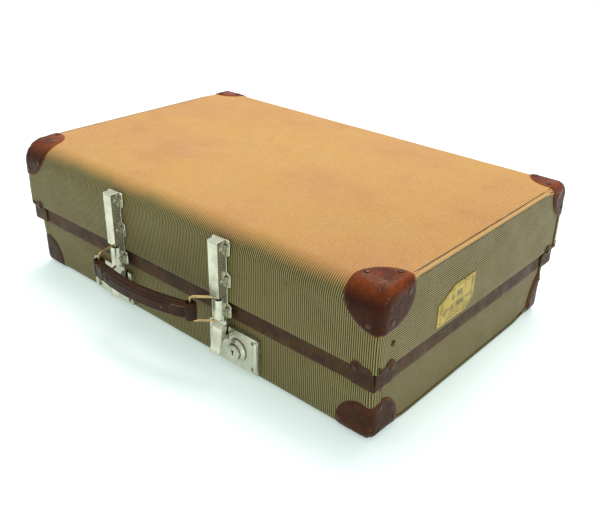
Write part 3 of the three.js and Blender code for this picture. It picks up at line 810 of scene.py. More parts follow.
def rivet_head(parts, at, normal, radius=3.1, height=1.3):
    """A domed head in a slight pressed ring."""
    profile = [(0, -0.8), (radius, -0.8), (radius, 0.15), (radius * 0.94, height * 0.45),
               (radius * 0.72, height * 0.8), (radius * 0.4, height * 0.97), (0, height)]
    parts.add(*revolve(profile, at, normal, 20), worn=0.6)


def cap_outline(reach, powers, notches):
    """Outline of a cap as offsets from the corner along (x, y, z), face after face, with round lobes."""
    points = []
    for first, second, power in zip((0, 1, 2), (1, 2, 0), powers):
        for i in range(CAP_SIDE_STEPS):
            t = math.radians(90 * i / CAP_SIDE_STEPS)
            point = [0.0, 0.0, 0.0]
            point[first] = reach[first] * math.cos(t) ** (2 / power)
            point[second] = reach[second] * math.sin(t) ** (2 / power)
            # a shallow notch where two lobes meet on an edge
            near = min(i, CAP_SIDE_STEPS - i) / CAP_SIDE_STEPS
            edge = first if i < CAP_SIDE_STEPS / 2 else second
            points.append([c * (1 - notches[edge] * bell(near, 0.11)) for c in point])
    return points


def make_cap(half, sx, sy, place, material, notches, reach, powers, rivets):
    """A domed corner cap pressed over the case's corner: a thin closed shell with its rivets."""
    corner = Vector((sx * half.half, half.front if sy < 0 else half.rear, half.face))
    inward = Vector((-sx, -sy, -half.up))
    centre = corner + inward * 40.0
    apex = -inward.normalized()
    seed = sx * 13 + sy * 7 + half.up * 3

    def ray(offsets):
        """Direction from the centre to a point given by its distances from the corner."""
        return (corner + Vector([i * o for i, o in zip(inward, offsets)]) - centre).normalized()

    rays = [ray(point) for point in cap_outline(reach, powers, notches)]
    verts, worn = [half.land(centre, apex, 1.5)], [0.35]
    under = [half.land(centre, apex, CAP_UNDER)]
    for ring in range(1, CAP_RINGS + 1):
        r = ring / CAP_RINGS
        for d in rays:
            direction = (apex * (1 - r) + d * r).normalized()
            crinkle = noise.noise(direction * 7.0 + Vector((seed, 0, 0)))
            near_apex = bell(r, 0.55)
            fold = -abs(noise.noise(direction * 13.0 + Vector((0, seed, 0)))) * 1.3 * near_apex
            thick = 1.9 * math.sqrt(1 - r ** 12) + 0.2 * crinkle * (1 - r ** 6) + fold * (1 - r ** 4)
            verts.append(half.land(centre, direction, max(thick, 0.12 if ring == CAP_RINGS else 0.9)))
            worn.append(0.25 + 0.75 * r ** 7 + 0.35 * near_apex * max(crinkle, 0.0))
            under.append(half.land(centre, direction, CAP_UNDER))
    # the underside follows the outside, a little way into the board, and the rim joins the two
    count, segments = len(verts), len(rays)
    faces = disc_faces(CAP_RINGS, segments)
    faces += [tuple(count + i for i in face)[::-1] for face in faces]
    rim = list(range(count - segments, count))
    faces += [(a, b, count + b, count + a) for a, b in zip(rim, rim[1:] + rim[:1])]
    name = f"{half.body}_corner_{place}"
    piece(name, verts + under, faces, material, half.body, "corner_fibre",
          (f"{half.body}_cap_{place}",), worn=worn + [0.0] * count, angle=60)
    heads = Parts()
    for offsets in rivets:
        at = half.land(centre, ray(offsets), 1.65)
        rivet_head(heads, at, half.normal(at), 3.3, 1.2)
    heads.make(name + "_rivets", RIVET, half.body, "corner_fibre")


# by place (-1 front, 1 rear): reach along x, y and z; how square the outline is on the top, the end
# and the long side; where its rivets are
LID_CAPS = {-1: ((48.0, 56.0, 46.0), (2.3, 3.1, 2.1),
                 ((36, 26, 0), (14, 46, 0), (38, 0, 22), (13, 0, 36), (0, 42, 13), (0, 18, 35))),
            1: ((46.0, 38.0, 45.0), (2.3, 1.9, 2.2),
                ((36, 16, 0), (13, 31, 0), (38, 0, 20), (13, 0, 36), (0, 27, 13), (0, 12, 32)))}
BASE_CAPS = {-1: ((46.0, 48.0, 47.0), (2.4, 2.4, 2.4), ((38, 0, 15), (0, 40, 13), (0, 14, 38))),
             1: ((46.0, 30.0, 56.0), (2.4, 2.0, 2.4), ((38, 0, 15), (0, 24, 13), (0, 9, 44)))}
for sx, sy, place in CORNERS:
    make_cap(LID, sx, sy, place, CAP_FIBRE, (0.0, 0.04, 0.0), *LID_CAPS[sy])
    make_cap(BASE, sx, sy, place, SHADED_CAP_FIBRE, (0.04, 0.04, 0.09), *BASE_CAPS[sy])


# ---------------------------------------------------------------- rim band and its corner angles
BAND_THICK, BAND_ROUND = 3.7, 4.5
BAND_SIDE_STEPS, BAND_CORNER_STEPS = 40, 6


def plan_path(x_half, y0, y1):
    """The band's rounded rectangle in plan, with its outward normals."""
    centres = ((x_half, y0, -90), (x_half, y1, 0), (-x_half, y1, 90), (-x_half, y0, 180))
    corners = []
    for x, y, start in centres:
        cx = x - math.copysign(BAND_ROUND, x)
        cy = y + (BAND_ROUND if y == y0 else -BAND_ROUND)
        turns = [math.radians(a) for a in spread(start, start + 90, BAND_CORNER_STEPS)]
        normals = [(math.cos(a), math.sin(a)) for a in turns]
        corners.append([(cx + BAND_ROUND * c, cy + BAND_ROUND * s, c, s) for c, s in normals])
    points = []
    for corner, following in zip(corners, corners[1:] + corners[:1]):
        (x0, y0, nx, ny), (x1, y1, _, _) = corner[-1], following[0]
        shares = spread(0, 1, BAND_SIDE_STEPS)[1:-1]
        points += corner + [(x0 + (x1 - x0) * t, y0 + (y1 - y0) * t, nx, ny) for t in shares]
    return points


def make_band():
    low, high = box("lid_rim_band")
    z0, z1 = low.z, high.z
    path = plan_path(high.x, low.y, high.y)
    section = ((1.1, z0), (0.35, z0 + 0.3), (0.0, z0 + 1.1), (0.15, z0 + 8), (0.15, z0 + 16),
               (0.0, z1 - 8), (0.0, z1), (BAND_THICK, z1), (BAND_THICK, z0 + 8),
               (BAND_THICK, z0 + 1.0), (BAND_THICK - 0.8, z0))
    band = Parts()
    verts, worn = [], []
    for x, y, nx, ny in path:
        wobble = abs(0.35 * noise.noise(Vector((x, y, 0)) * 0.013))
        for depth, z in section:
            back = depth + (wobble if z < z1 - 9 else 0.0)
            verts.append((x - nx * back, y - ny * back, z))
            worn.append(0.75 if z < z0 + 1.5 else 0.2)
    band.add(verts, grid_faces(len(path), len(section), wrap=True, loop=True), worn)
    band.make("rim_band", RIM_FIBRE, "lid", "rim_fibre", ("lid_rim_band",), angle=55)


ANGLE_REACH, ANGLE_ROUND = 31.0, 5.5
ANGLE_ACROSS, ANGLE_TALL = 72, 14
ANGLE_FOOT = 69.2
ANGLE_RIVET_RUN, ANGLE_RIVET_Z = 23.0, 92.0


def angle_edges(u):
    """Lower and upper edge of a corner angle at run u from the corner: a lobe, darted at the corner."""
    a = abs(u)
    drop = max(0.0, a - 28.5) / (ANGLE_REACH - 28.5)
    low = ANGLE_FOOT + 2.5 * (1 - math.sqrt(max(0.0, 1 - drop ** 2)))
    over = max(0.0, a - 25.5) / (ANGLE_REACH - 25.5)
    lobe = 93.4 + 6.4 * bell(a, 8.5, 22.5) + 3.0 * bell(a, 5.5, 7.0)
    lobe -= 9.0 * (1 - math.sqrt(max(0.0, 1 - over ** 2.2)))
    return low, min(lobe, 71.5 + 23.0 * (a / 4.6) ** 0.7)


def make_angle(sx, sy, place):
    """A brown angle pressed round the band's corner, lapping up on the lid's cloth."""
    corner_x, corner_y = sx * LID.half, LID.front if sy < 0 else LID.rear
    r, bend = ANGLE_ROUND, ANGLE_ROUND * math.pi / 4

    def plan(u, offset):
        """Point in plan at run u from the corner's middle, raised by offset from the lid's surface."""
        if abs(u) <= bend:
            a = math.radians(45) + u / r
            return (corner_x - sx * (r - (r + offset) * math.sin(a)),
                    corner_y - sy * (r - (r + offset) * math.cos(a)))
        if u > 0:
            return corner_x + sx * offset, corner_y - sy * (r + u - bend)
        return corner_x - sx * (r - u - bend), corner_y + sy * offset

    verts, worn = [], []
    for layer in (0, 1):
        for t in spread(-1, 1, ANGLE_ACROSS):
            u = ANGLE_REACH * math.copysign(abs(t) ** 1.25, t)
            low, high = angle_edges(u)
            for k, z in enumerate(spread(low, high, ANGLE_TALL)):
                edge = min(k, ANGLE_TALL - k) / ANGLE_TALL
                offset = -2.5 + 3.8 * smoothstep(z, 87.0, 93.5)
                if layer:
                    offset -= 1.5
                else:
                    dent = 0.25 * noise.noise(Vector((u, z, sx * 9 + sy * 4)) * 0.09)
                    offset += dent - 0.55 * bell(edge, 0.04)
                verts.append((*plan(u, offset), z))
                worn.append(0.3 + 0.6 * bell(edge, 0.05))
    sheet = Parts().add(verts, slab_faces(ANGLE_ACROSS + 1, ANGLE_TALL + 1), worn)
    sheet.make(f"rim_angle_{place}", RIM_FIBRE, "lid", "rim_fibre", (f"rim_corner_{place}",), angle=55)
    heads = Parts()
    for u, direction in ((-ANGLE_RIVET_RUN, (0, sy, 0)), (ANGLE_RIVET_RUN, (sx, 0, 0))):
        rivet_head(heads, (*plan(u, 0.9), ANGLE_RIVET_Z), direction, 3.6, 1.5)
    heads.make(f"rim_angle_{place}_rivets", RIVET, "lid", "rim_fibre")


def make_end_rivets(half, sink, back, z):
    """Rivets through the cloth of both end faces, near the front corners."""
    heads = Parts()
    for sx, _ in SIDES:
        rivet_head(heads, (sx * (half.half - sink), half.front + back, z), (sx, 0, 0), 3.2, 1.4)
    heads.make(f"{half.body}_end_rivets", RIVET, half.body, "corner_fibre")


make_band()
for corner in CORNERS:
    make_angle(*corner)
make_end_rivets(LID, 0.6, 25.0, 118.0)
make_end_rivets(BASE, 0.1, 13.0, 60.0)

# ---------------------------------------------------------------- latches
FRONT = LID.front
LATCH_X = 92.0
LATCH_HALF = 7.5
CHANNEL_FRONT, CHANNEL_BACK = FRONT - 13.5, FRONT - 2.1
CHANNEL_LOW, CHANNEL_HIGH = 100.5, 168.0
CHANNEL_SHEET = 1.3
PIN_Y, PIN_Z = FRONT - 4.5, 67.5
PLATE_LOW, PLATE_WAIST = 72.0, 8.2
LUGS = ((74.0, 89.0), (112.0, 128.0), (150.0, 167.0))
LUG_REACH = 13.6
SLEEVE_LOW, SLEEVE_HIGH = 72.4, 96.9
HANDS = (-1, 1)


def make_back_plate(x, word):
    """A plate scalloped on both sides: a lug for every pair of ears, and a waist between them."""
    right = [(PLATE_WAIST, PLATE_LOW)]
    for low, high in LUGS:
        swell = [(LUG_REACH - PLATE_WAIST) * smoothstep(t, 0, 1) for t in spread(0, 1, 6)]
        right.append((PLATE_WAIST, low - 4.0))
        right += [(PLATE_WAIST + s, z) for s, z in zip(swell, spread(low - 2.6, low + 1.0, 6))]
        right += [(LUG_REACH - s, z) for s, z in zip(swell, spread(high - 1.0, high + 2.6, 6))]
        right.append((PLATE_WAIST, high + 4.0))
    right = sorted((p for p in right if PLATE_LOW <= p[1] <= CHANNEL_HIGH - 0.4), key=lambda p: p[1])
    right.append((right[-1][0] - 1.5, CHANNEL_HIGH))
    outline = [(x + a, b) for a, b in right] + [(x - a, b) for a, b in reversed(right)]
    plate = Parts().add(*prism(outline, "Y", FRONT - 1.8, FRONT - 0.3))
    plate.make_nickel(f"latch_plate_{word}", "lid", (f"latch_back_plate_{word}",), bevel=0.5)


def make_lugs(x, word):
    """Pressed arches from the channel's walls down to the plate, with riveted eyes."""
    arches, eyes = Parts(), Parts()
    eye = [(0, -0.6), (2.9, -0.6), (2.9, 0.2), (2.5, 0.6), (1.9, 0.6), (1.7, 0.35), (1.5, 0.35),
           (1.3, 0.9), (0.8, 1.2), (0, 1.3)]
    for low, high in LUGS:
        z = (low + high) / 2
        for hand in HANDS:
            foot = x + hand * (LATCH_HALF - 0.2)
            rise = [(foot + hand * 4.6 * t, FRONT - 4.7 + 3.0 * smoothstep(t, 0.0, 0.8))
                    for t in spread(0, 1, 8)]
            under = [(a, FRONT - 1.5) for a, _ in reversed(rise)]
            arches.add(*prism(rise + under, "Z", z - 4.2, z + 4.2))
            eyes.add(*revolve(eye, (x + hand * LATCH_HALF, FRONT - 7.4, z + 0.5), (hand, 0, 0)))
            rivet_head(eyes, (x + hand * 10.9, FRONT - 2.0, z), (0, -1, 0), 1.5, 0.7)
    arches.make_nickel(f"latch_lugs_{word}", "lid", material=WORN_NICKEL, bevel=0.7)
    eyes.make_nickel(f"latch_eyes_{word}", "lid")


def make_channel(x, word):
    """The case: a channel down to the window, closed on top, with cheeks down to the pin."""
    outer, inner, bottom = LATCH_HALF, LATCH_HALF - CHANNEL_SHEET, CHANNEL_FRONT + CHANNEL_SHEET
    outline = [(-outer, CHANNEL_BACK), (-outer, CHANNEL_FRONT), (outer, CHANNEL_FRONT),
               (outer, CHANNEL_BACK), (inner, CHANNEL_BACK), (inner, bottom), (-inner, bottom),
               (-inner, CHANNEL_BACK)]
    top = rounded(x - outer, x + outer, CHANNEL_FRONT, CHANNEL_BACK, 0.4, 1)
    channel = Parts().add(*prism([(x + a, b) for a, b in outline], "Z", CHANNEL_LOW, CHANNEL_HIGH - 1.4))
    channel.add(*prism(top, "Z", CHANNEL_HIGH - 2.4, CHANNEL_HIGH))
    cheek = [(CHANNEL_BACK, CHANNEL_LOW + 1), (CHANNEL_FRONT + 2.4, CHANNEL_LOW + 1),
             (CHANNEL_FRONT + 5.6, 98.0), (CHANNEL_FRONT + 6.2, 90.0), (CHANNEL_FRONT + 6.2, 74.0)]
    turns = [math.radians(a) for a in spread(170, 340, 10)]
    cheek += [(PIN_Y + 3.9 * math.cos(a), PIN_Z + 3.9 * math.sin(a)) for a in turns]
    cheek.append((CHANNEL_BACK, PLATE_LOW))
    for hand in HANDS:
        channel.add(*prism(cheek, "X", *sorted((x + hand * outer, x + hand * inner))))
    channel.make_nickel(f"latch_case_{word}", "lid", (f"latch_channel_{word}",), bevel=0.75)


def make_sleeve(x, word):
    """A curved sheet round the ring's wire."""
    shares = spread(-1, 1, 16)
    bulge = [(x + 7.5 * t, CHANNEL_FRONT + 5.4 * abs(t) ** 4.2) for t in shares]
    back = [(x + 6.4 * t, CHANNEL_FRONT + 1.1 + 4.3 * abs(t) ** 4.2) for t in reversed(shares)]
    sleeve = Parts().add(*prism(bulge + back, "Z", SLEEVE_LOW, SLEEVE_HIGH))
    sleeve.make_nickel(f"latch_sleeve_{word}", "lid", (f"ring_sleeve_{word}",), bevel=0.35, angle=45)


def make_pin_heads(x, word):
    heads = Parts()
    for hand in HANDS:
        heads.add(*revolve([(0, -0.5), (3.4, -0.5), (3.4, 0.3), (3.0, 1.1), (1.9, 1.8), (0, 2.1)],
                           (x + hand * (LATCH_HALF + 0.2), PIN_Y, PIN_Z), (hand, 0, 0)))
    heads.make_nickel(f"hasp_pin_heads_{word}", "lid")


def make_lever(x, word):
    """The hasp lever, kicked outwards at its lower end, with its knuckle, neck and tongue."""
    front = [(7.6, 66.0), (9.2, 63.2), (10.8, 60.6), (11.6, 57.0), (12.0, 51.0), (12.6, 44.0),
             (13.8, 37.5), (15.4, 32.5), (17.3, 28.6)]
    rear = [(16.0, 28.3), (13.9, 32.6), (12.0, 38.0), (9.8, 44.0), (6.6, 51.0), (3.6, 57.0),
            (2.4, 61.5), (4.4, 63.6)]
    neck = [(PIN_Y - 2.9, PIN_Z), (PIN_Y - 5.6, 62.0), (PIN_Y + 1.0, 60.5), (PIN_Y + 2.0, PIN_Z)]
    half, knuckle = LATCH_HALF + 0.2, 5.7
    lever = Parts().add(*prism([(FRONT - a, b) for a, b in front + rear], "X", x - half, x + half))
    roll = [(0, -knuckle), (3.1, -knuckle), (3.1, knuckle), (0, knuckle)]
    lever.add(*revolve(roll, (x, PIN_Y, PIN_Z), (1, 0, 0)))
    lever.add(*prism(neck, "X", x - knuckle, x + knuckle))
    lever.add(*prism(rounded(x - 2.5, x + 2.5, 41.5, 46.0, 0.5, 2), "Y", FRONT - 9.0, BASE.front - 2.3))
    lever.make_nickel(f"hasp_lever_{word}", f"hasp_{word}", (f"hasp_{word}",), bevel=0.7)


# ---------------------------------------------------------------- locks
LOCK_SHEET = 1.6
LOCK_WALL = 1.5
NOTCH_HALF, NOTCH_LOW = 3.2, 39.5
KEY_INSET, KEY_Z = 32.0, 32.0
BARREL_NOSE = 7.5
KEYHOLE_RADIUS, KEYHOLE_HALF_SLOT, KEYHOLE_SLOT, KEYHOLE_DEEP = 1.9, 1.0, 5.0, 6.5


def slotted_head(parts, x, y, z, radius=2.8, height=1.1):
    """A round screw head facing the front, with a slot across it."""
    turn = math.radians(35 + 40 * math.sin(x))
    rings, segments = 9, 48
    verts = [(x, y - height + 0.5, z)]
    for share in spread(0, 1, rings)[1:]:
        for c, s in circle(segments):
            dx, dz = radius * share * c, radius * share * s
            rise = height * (1 - share ** 3)
            if abs(dx * math.cos(turn) + dz * math.sin(turn)) < 0.5:
                rise = max(rise - 0.55, -0.2)
            verts.append((x + dx, y - rise, z + dz))
    verts += [(x + radius * c, y + 1.0, z + radius * s) for c, s in circle(segments)]
    back = tuple(range(len(verts) - segments, len(verts)))
    parts.add(verts, disc_faces(rings + 1, segments) + [back])


def keyhole(c, s):
    """Distance of the keyhole's edge in a direction: a round hole with a slot below it."""
    slot = min(KEYHOLE_HALF_SLOT / max(abs(c), 1e-6), KEYHOLE_SLOT / abs(s)) if s < 0 else 0.0
    return max(KEYHOLE_RADIUS, slot)


def make_barrel(x, y, word):
    """Key barrel: a turned nose whose face is cut by a keyhole."""
    spots = circle(64)
    front = y - BARREL_NOSE
    hole = [(keyhole(c, s) * c, keyhole(c, s) * s + 1.5) for c, s in spots]
    verts = [(x + a, front + depth, KEY_Z + b) for depth in (KEYHOLE_DEEP, 0.1) for a, b in hole]
    rings = ((6.0, 0.0), (6.6, 0.25), (7.0, 0.25), (7.4, 0.0), (8.4, 0.1), (9.0, 0.8),
             (9.0, BARREL_NOSE), (4.0, BARREL_NOSE))
    for radius, depth in rings:
        verts += [(x + radius * c, front + depth, KEY_Z + radius * s) for c, s in spots]
    count = len(verts)
    faces = grid_faces(len(rings) + 2, len(spots), wrap=True)
    faces += [tuple(range(len(spots)))[::-1], tuple(range(count - len(spots), count))]
    key = f"key_barrel_{word}"
    Parts().add(verts, faces).make_nickel(f"lock_barrel_{word}", key, (key,))


def lock_outline(x0, x1, z0, z1, hasp_x):
    """The lock plate's outline, with a notch in its top edge for the hasp's tongue."""
    low, high = hasp_x - NOTCH_HALF, hasp_x + NOTCH_HALF
    notch = [(high, z1), (high, NOTCH_LOW), (low, NOTCH_LOW), (low, z1)]
    corners = rounded(x0, x1, z0, z1, 3.6, 5)
    return corners[:18] + notch + corners[18:]


def make_lock(side, word):
    """A lock: its face plate with walls and a rolled outer end, collar, key barrel and screws."""
    low, high = box(f"lock_plate_{word}")
    x0, x1, z0, z1, face = low.x, high.x, low.z, high.z, low.y
    outer, inner = (x1, x0) if side > 0 else (x0, x1)
    hasp_x, key_x = side * LATCH_X, outer - side * KEY_INSET
    plate = Parts().add(*prism(lock_outline(x0, x1, z0, z1, hasp_x), "Y", face, face + LOCK_SHEET))
    left, right, bottom, top = x0 + 0.4, x1 - 0.4, z0 + 0.4, z1 - 0.4
    gap = NOTCH_HALF + 0.4
    for wall in ((left, right, bottom, bottom + LOCK_WALL), (left, left + LOCK_WALL, bottom, top),
                 (right - LOCK_WALL, right, bottom, top), (left, hasp_x - gap, top - LOCK_WALL, top),
                 (hasp_x + gap, right, top - LOCK_WALL, top)):
        plate.add(*prism(rounded(*wall, 0.5, 2), "Y", face + 1.0, high.y))
    bead = [(outer - side * 3.0, face - 0.2, z) for z in spread(z0 + 2.6, z1 - 2.6, 14)]
    plate.add(*tube(bead, lambda i: 2.9 * math.sqrt(max(0.05, 1 - (abs(i - 7) / 7.2) ** 8)), 16))
    plate.make_nickel(f"lock_face_{word}", "base", (f"lock_plate_{word}",), bevel=0.8, angle=38)
    collar_back = face - 0.3
    collar = [(9.4, 0), (13.6, 0), (14.0, 0.4), (14.0, 1.3), (13.4, 2.0), (12.2, 2.3), (11.6, 2.8),
              (11.3, 3.6), (10.8, 4.0), (9.8, 4.0), (9.4, 3.6)]
    turned = revolve(collar, (key_x, collar_back, KEY_Z), (0, -1, 0), 48, ring=True)
    Parts().add(*turned).make_nickel(f"lock_ring_{word}", "base", (f"lock_collar_{word}",), angle=40)
    make_barrel(key_x, collar_back, word)
    screws = Parts()
    near, far = outer - side * 7.6, inner + side * 6.0
    for x, z in ((near, z1 - 6.2), (near, z0 + 6.2), (far, z0 + 6.0)):
        slotted_head(screws, x, face, z)
    names = [f"lock_screw_{word}_{spot}" for spot in ("outer_upper", "outer_lower", "inner_lower")]
    screws.make_nickel(f"lock_screws_{word}", "base", names, WORN_NICKEL, 40)


for side, word in SIDES:
    for make in (make_back_plate, make_lugs, make_channel, make_sleeve, make_pin_heads, make_lever):
        make(side * LATCH_X, word)
    make_lock(side, word)


# ---------------------------------------------------------------- handle
RING_Y = FRONT - 10.2
RING_LOW, RING_HIGH = 69.5, 99.5
RING_REACH, RING_WIRE, RING_BEND = 29.0, 1.5, 4.2
LEFT_TURN, RIGHT_TURN = math.radians(15), math.radians(-49)


def ring_end(pivot_x, turn):
    return Vector((pivot_x + RING_REACH * math.sin(turn), RING_Y - RING_REACH * math.cos(turn)))


LEFT_END, RIGHT_END = ring_end(-LATCH_X, LEFT_TURN), ring_end(LATCH_X, RIGHT_TURN)


def make_ring(word, pivot_x, end):
    """A rectangular wire ring, from its upright in the sleeve to its upright in the grip's loop."""
    corners = [(pivot_x, RING_Y, RING_LOW), (*end, RING_LOW),
               (*end, RING_HIGH), (pivot_x, RING_Y, RING_HIGH)]
    path = fillet(corners, RING_BEND, 7)
    full = []
    for p, q in zip(path, path[1:] + path[:1]):
        spans = max(1, int((q - p).length / 5))
        full += [p.lerp(q, k / spans) for k in range(spans)]
    ring = Parts().add(*tube(full, lambda i: RING_WIRE, 14, closed=True))
    ring.make(f"ring_wire_{word}", BRASS, f"ring_{word}", "brass", (f"handle_ring_{word}",), angle=60)


make_ring("left", -LATCH_X, LEFT_END)
make_ring("right", LATCH_X, RIGHT_END)

GRIP_LOW, GRIP_HIGH = 71.5, 92.5
GRIP_BOW, GRIP_HALF, GRIP_NECK = 12.0, 6.5, 4.6
GRIP_ROWS, GRIP_AROUND = 90, 56
GRIP_Z = (GRIP_LOW + GRIP_HIGH) / 2
SPAN = RIGHT_END - LEFT_END
HALF_SPAN = SPAN.length / 2
BOW_RADIUS = (HALF_SPAN ** 2 + GRIP_BOW ** 2) / (2 * GRIP_BOW)
STRAP_FROM, STRAP_TO = 0.70, 0.985
STRAP_ACROSS, STRAP_TALL = 20, 8
STITCH_ROW = 6.8


def grip_point(s, t, z):
    """A point of the case from one of the grip: s along the line between the rings, t across it."""
    middle, along = (LEFT_END + RIGHT_END) / 2, SPAN.normalized()
    return middle.x + s * along.x - t * along.y, middle.y + s * along.y + t * along.x, GRIP_Z + z


def spine(share):
    """The grip's middle line, bowed outwards: local point and outward direction at -1..1 along it."""
    a = -math.pi / 2 + math.asin(HALF_SPAN / BOW_RADIUS) * share
    out = Vector((math.cos(a), math.sin(a)))
    return Vector((0, BOW_RADIUS - GRIP_BOW)) + out * BOW_RADIUS, out


def superellipse(value):
    return math.copysign(abs(value) ** 0.62, value)


def grip_body():
    """The moulded body, ribbed on its outer face and necked at both ends."""
    limit = 1 - 6.0 / HALF_SPAN
    verts, worn = [], []
    for share in spread(-limit, limit, GRIP_ROWS):
        p, out = spine(share)
        e = abs(share) / limit
        neck = 1 - smoothstep(e, 0.70, 0.98)
        half_t = GRIP_NECK + (GRIP_HALF - GRIP_NECK) * neck
        half_z = 10.3 - 0.5 * (1 - e ** 2)
        for c, s in circle(GRIP_AROUND):
            z = half_z * superellipse(s)
            ribs = abs(math.sin(math.pi * 2.0 * z / half_z)) ** 0.6 - 0.6
            ribs *= smoothstep(c, 0.2, 0.5) * (0.25 + 0.75 * neck)
            t = half_t * superellipse(c) + ribs
            t += 0.25 * uneven(share * 9, z * 0.2, c)
            verts.append(grip_point(*(p + out * t), z))
            worn.append(0.25 + 0.9 * max(ribs, 0.0) + 0.3 * (1 - neck))
    last = GRIP_ROWS * GRIP_AROUND
    faces = grid_faces(GRIP_ROWS + 1, GRIP_AROUND, wrap=True)
    faces += [tuple(range(GRIP_AROUND))[::-1], tuple(range(last, last + GRIP_AROUND))]
    return verts, faces, worn


def grip_strap(sign):
    """A strap end lapped over the outer face and narrowed at its tip."""
    verts, worn = [], []
    for layer in (0, 1):
        for i, share in enumerate(spread(STRAP_FROM, STRAP_TO, STRAP_ACROSS)):
            p, out = spine(sign * share)
            narrow = 0.5 + 0.5 * smoothstep(i, 0, 4)
            for k, z in enumerate(spread(-8.6, 8.6, STRAP_TALL)):
                edge = min(k, STRAP_TALL - k) / STRAP_TALL
                lift = GRIP_HALF + 0.55 - 1.2 * smoothstep(i, STRAP_ACROSS * 0.5, STRAP_ACROSS)
                lift -= 0.8 * bell(edge, 0.07) + 0.8 * bell(i, 1.1)
                q = p + out * (GRIP_HALF - 2.6 if layer else lift)
                verts.append(grip_point(*q, z * narrow))
                worn.append(0.35 + 0.4 * bell(edge, 0.1))
    return verts, slab_faces(STRAP_ACROSS + 1, STRAP_TALL + 1), worn


def stitch(share, sign, z):
    """One stitch of thread, bowed off the strap."""
    (p, out), (q, _) = spine(share), spine(share + sign * 0.022)
    lift = GRIP_HALF + 0.45 - 1.2 * smoothstep(abs(share), 0.84, 0.985)
    path = []
    for w in spread(0, 1, 4):
        bowed = p.lerp(q, w) + out * (lift + 0.3 * math.sin(math.pi * w))
        path.append(grip_point(*bowed, z))
    return tube(path, lambda i: 0.42, 8)


def make_grip():
    """Moulded leather grip with a loop round each ring, stitched strap ends and rivets."""
    grip, stitches, studs = Parts().add(*grip_body()), Parts(), Parts()
    loop = [(4.3, 0.9), (4.9, 0.1), (6.5, 0.1), (7.2, 1.0), (7.2, 20.0), (6.5, 20.9),
            (4.9, 20.9), (4.3, 20.1)]
    for sign in HANDS:
        foot = grip_point(sign * HALF_SPAN, 0, GRIP_LOW - GRIP_Z)
        grip.add(*revolve(loop, foot, (0, 0, 1), 40, ring=True), worn=0.55)
        grip.add(*grip_strap(sign))
        for z in (-STITCH_ROW, STITCH_ROW):
            for k in range(7):
                stitches.add(*stitch(sign * (0.745 + 0.034 * k), sign, z))
        p, out = spine(sign * 46.0 / HALF_SPAN)
        for facing, lift in ((1, GRIP_HALF + 0.5), (-1, -GRIP_HALF - 0.2)):
            here = Vector(grip_point(*(p + out * lift), 0))
            there = Vector(grip_point(*(p + out * (lift + facing)), 0))
            rivet_head(studs, here, there - here, 2.3, 0.9)
    grip.make("grip", LEATHER, "handle", "grip_leather", ("handle_grip",), angle=50)
    stitches.make("grip_stitches", THREAD, "handle", "grip_leather", angle=60)
    rivets = ("handle_rivet_left", "handle_rivet_right")
    studs.make("grip_studs", RIVET, "handle", "brass", rivets, angle=50)


make_grip()


# ---------------------------------------------------------------- hinges, sticker and plain CAD nodes
def make_hinge_rivets():
    lid, base = Parts(), Parts()
    for _, word in SIDES:
        leaf, leaf_high = box(f"hinge_lid_leaf_{word}")
        base_z = box(f"hinge_base_leaf_{word}")[0].z
        for x in (leaf.x + 8, leaf_high.x - 8):
            rivet_head(lid, (x, LID.rear - 2.8, 81.0), (0, 1, 0), 2.6, 1.0)
            for rise in (7.0, 15.0):
                rivet_head(base, (x, BASE.rear + 1.5, base_z + rise), (0, 1, 0), 2.6, 1.0)
    lid.make_nickel("hinge_rivets_lid", "lid", material=WORN_NICKEL, angle=50)
    base.make_nickel("hinge_rivets_base", "base", material=WORN_NICKEL, angle=50)


STICKER_ACROSS, STICKER_TALL = 48, 26
STICKER_INSET = 8.0


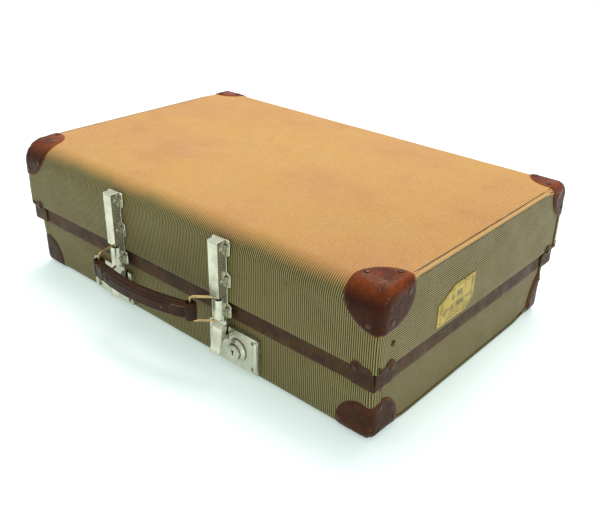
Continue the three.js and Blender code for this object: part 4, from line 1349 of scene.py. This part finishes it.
def make_sticker():
    """A torn paper sticker on the right end."""
    low, high = box("end_label")
    x, y0 = LID.half - 0.2, low.y + STICKER_INSET
    verts, uv = [], []
    for layer in (0, 1):
        for i, a in enumerate(spread(0, 1, STICKER_ACROSS)):
            top = 1.0 - 0.30 * smoothstep(1 - a, 0.55, 0.95) - 0.07 * abs(uneven(a * 14, 5, 0))
            foot = 0.05 * abs(uneven(a * 10, 9, 0)) + 0.22 * smoothstep(a, 0.78, 1.0)
            for b in spread(0, 1, STICKER_TALL):
                torn = 0.055 * uneven(a * 9, b * 9, 3.0)
                y = y0 + (high.y - y0) * (a + torn * (0.5 - abs(a - 0.5)) * 0.4)
                if i in (0, STICKER_ACROSS):
                    y -= 1.6 * uneven(b * 11, 1.0 + i, 0) * (1 if i else -1)
                lift = 0.3 + 0.12 * uneven(a * 6, b * 6, 8.0)
                z = low.z + (high.z - low.z) * (foot + (top - foot) * b)
                verts.append((x - 0.6 if layer else x + lift, y, z))
                uv.append((a, b))
    faces = slab_faces(STICKER_ACROSS + 1, STICKER_TALL + 1)
    piece("sticker", verts, faces, LABEL, "lid", "label_paper", ("end_label",), uv=uv, angle=60)


make_hinge_rivets()
make_sticker()
for material, names in ((LINING, ("lid_lining", "base_lining")),
                        (WORN_NICKEL, ("lock_bolt_left", "lock_bolt_right")),
                        (NICKEL, [f"{part}_{word}" for _, word in SIDES for part in (
                            "hasp_pin", "hinge_lid_leaf", "hinge_base_leaf", "hinge_pin")])):
    for name in names:
        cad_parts[name].material_slots[0].material = material


# ---------------------------------------------------------------- stage
FLOOR_REACH = 9.0


def make_floor():
    mesh = bpy.data.meshes.new("floor")
    corners = [(x * FLOOR_REACH, y * FLOOR_REACH, 0) for x, y in ((-1, -1), (1, -1), (1, 1), (-1, 1))]
    mesh.from_pydata(corners, [], [(0, 1, 2, 3)])
    mesh.materials.append(floor_paint())
    stand("floor", mesh)


def make_world():
    world = bpy.data.worlds.new("studio")
    world.use_nodes = True
    background = world.node_tree.nodes["Background"]
    background.inputs["Color"].default_value = (0.93, 0.97, 1.0, 1.0)
    background.inputs["Strength"].default_value = 0.8
    bpy.context.scene.world = world


make_floor()
make_camera()
make_world()
area_light("key", (-0.3, 0.8, 2.3), (0.0, 0.0, 0.1), (1.8, 1.5), 52, (1.0, 0.975, 0.94))
area_light("side", (2.4, -0.3, 1.1), (0.1, 0.0, 0.1), (1.2, 1.2), 11, (0.97, 1.0, 0.96))
bpy.context.scene.view_settings.view_transform = "Standard"
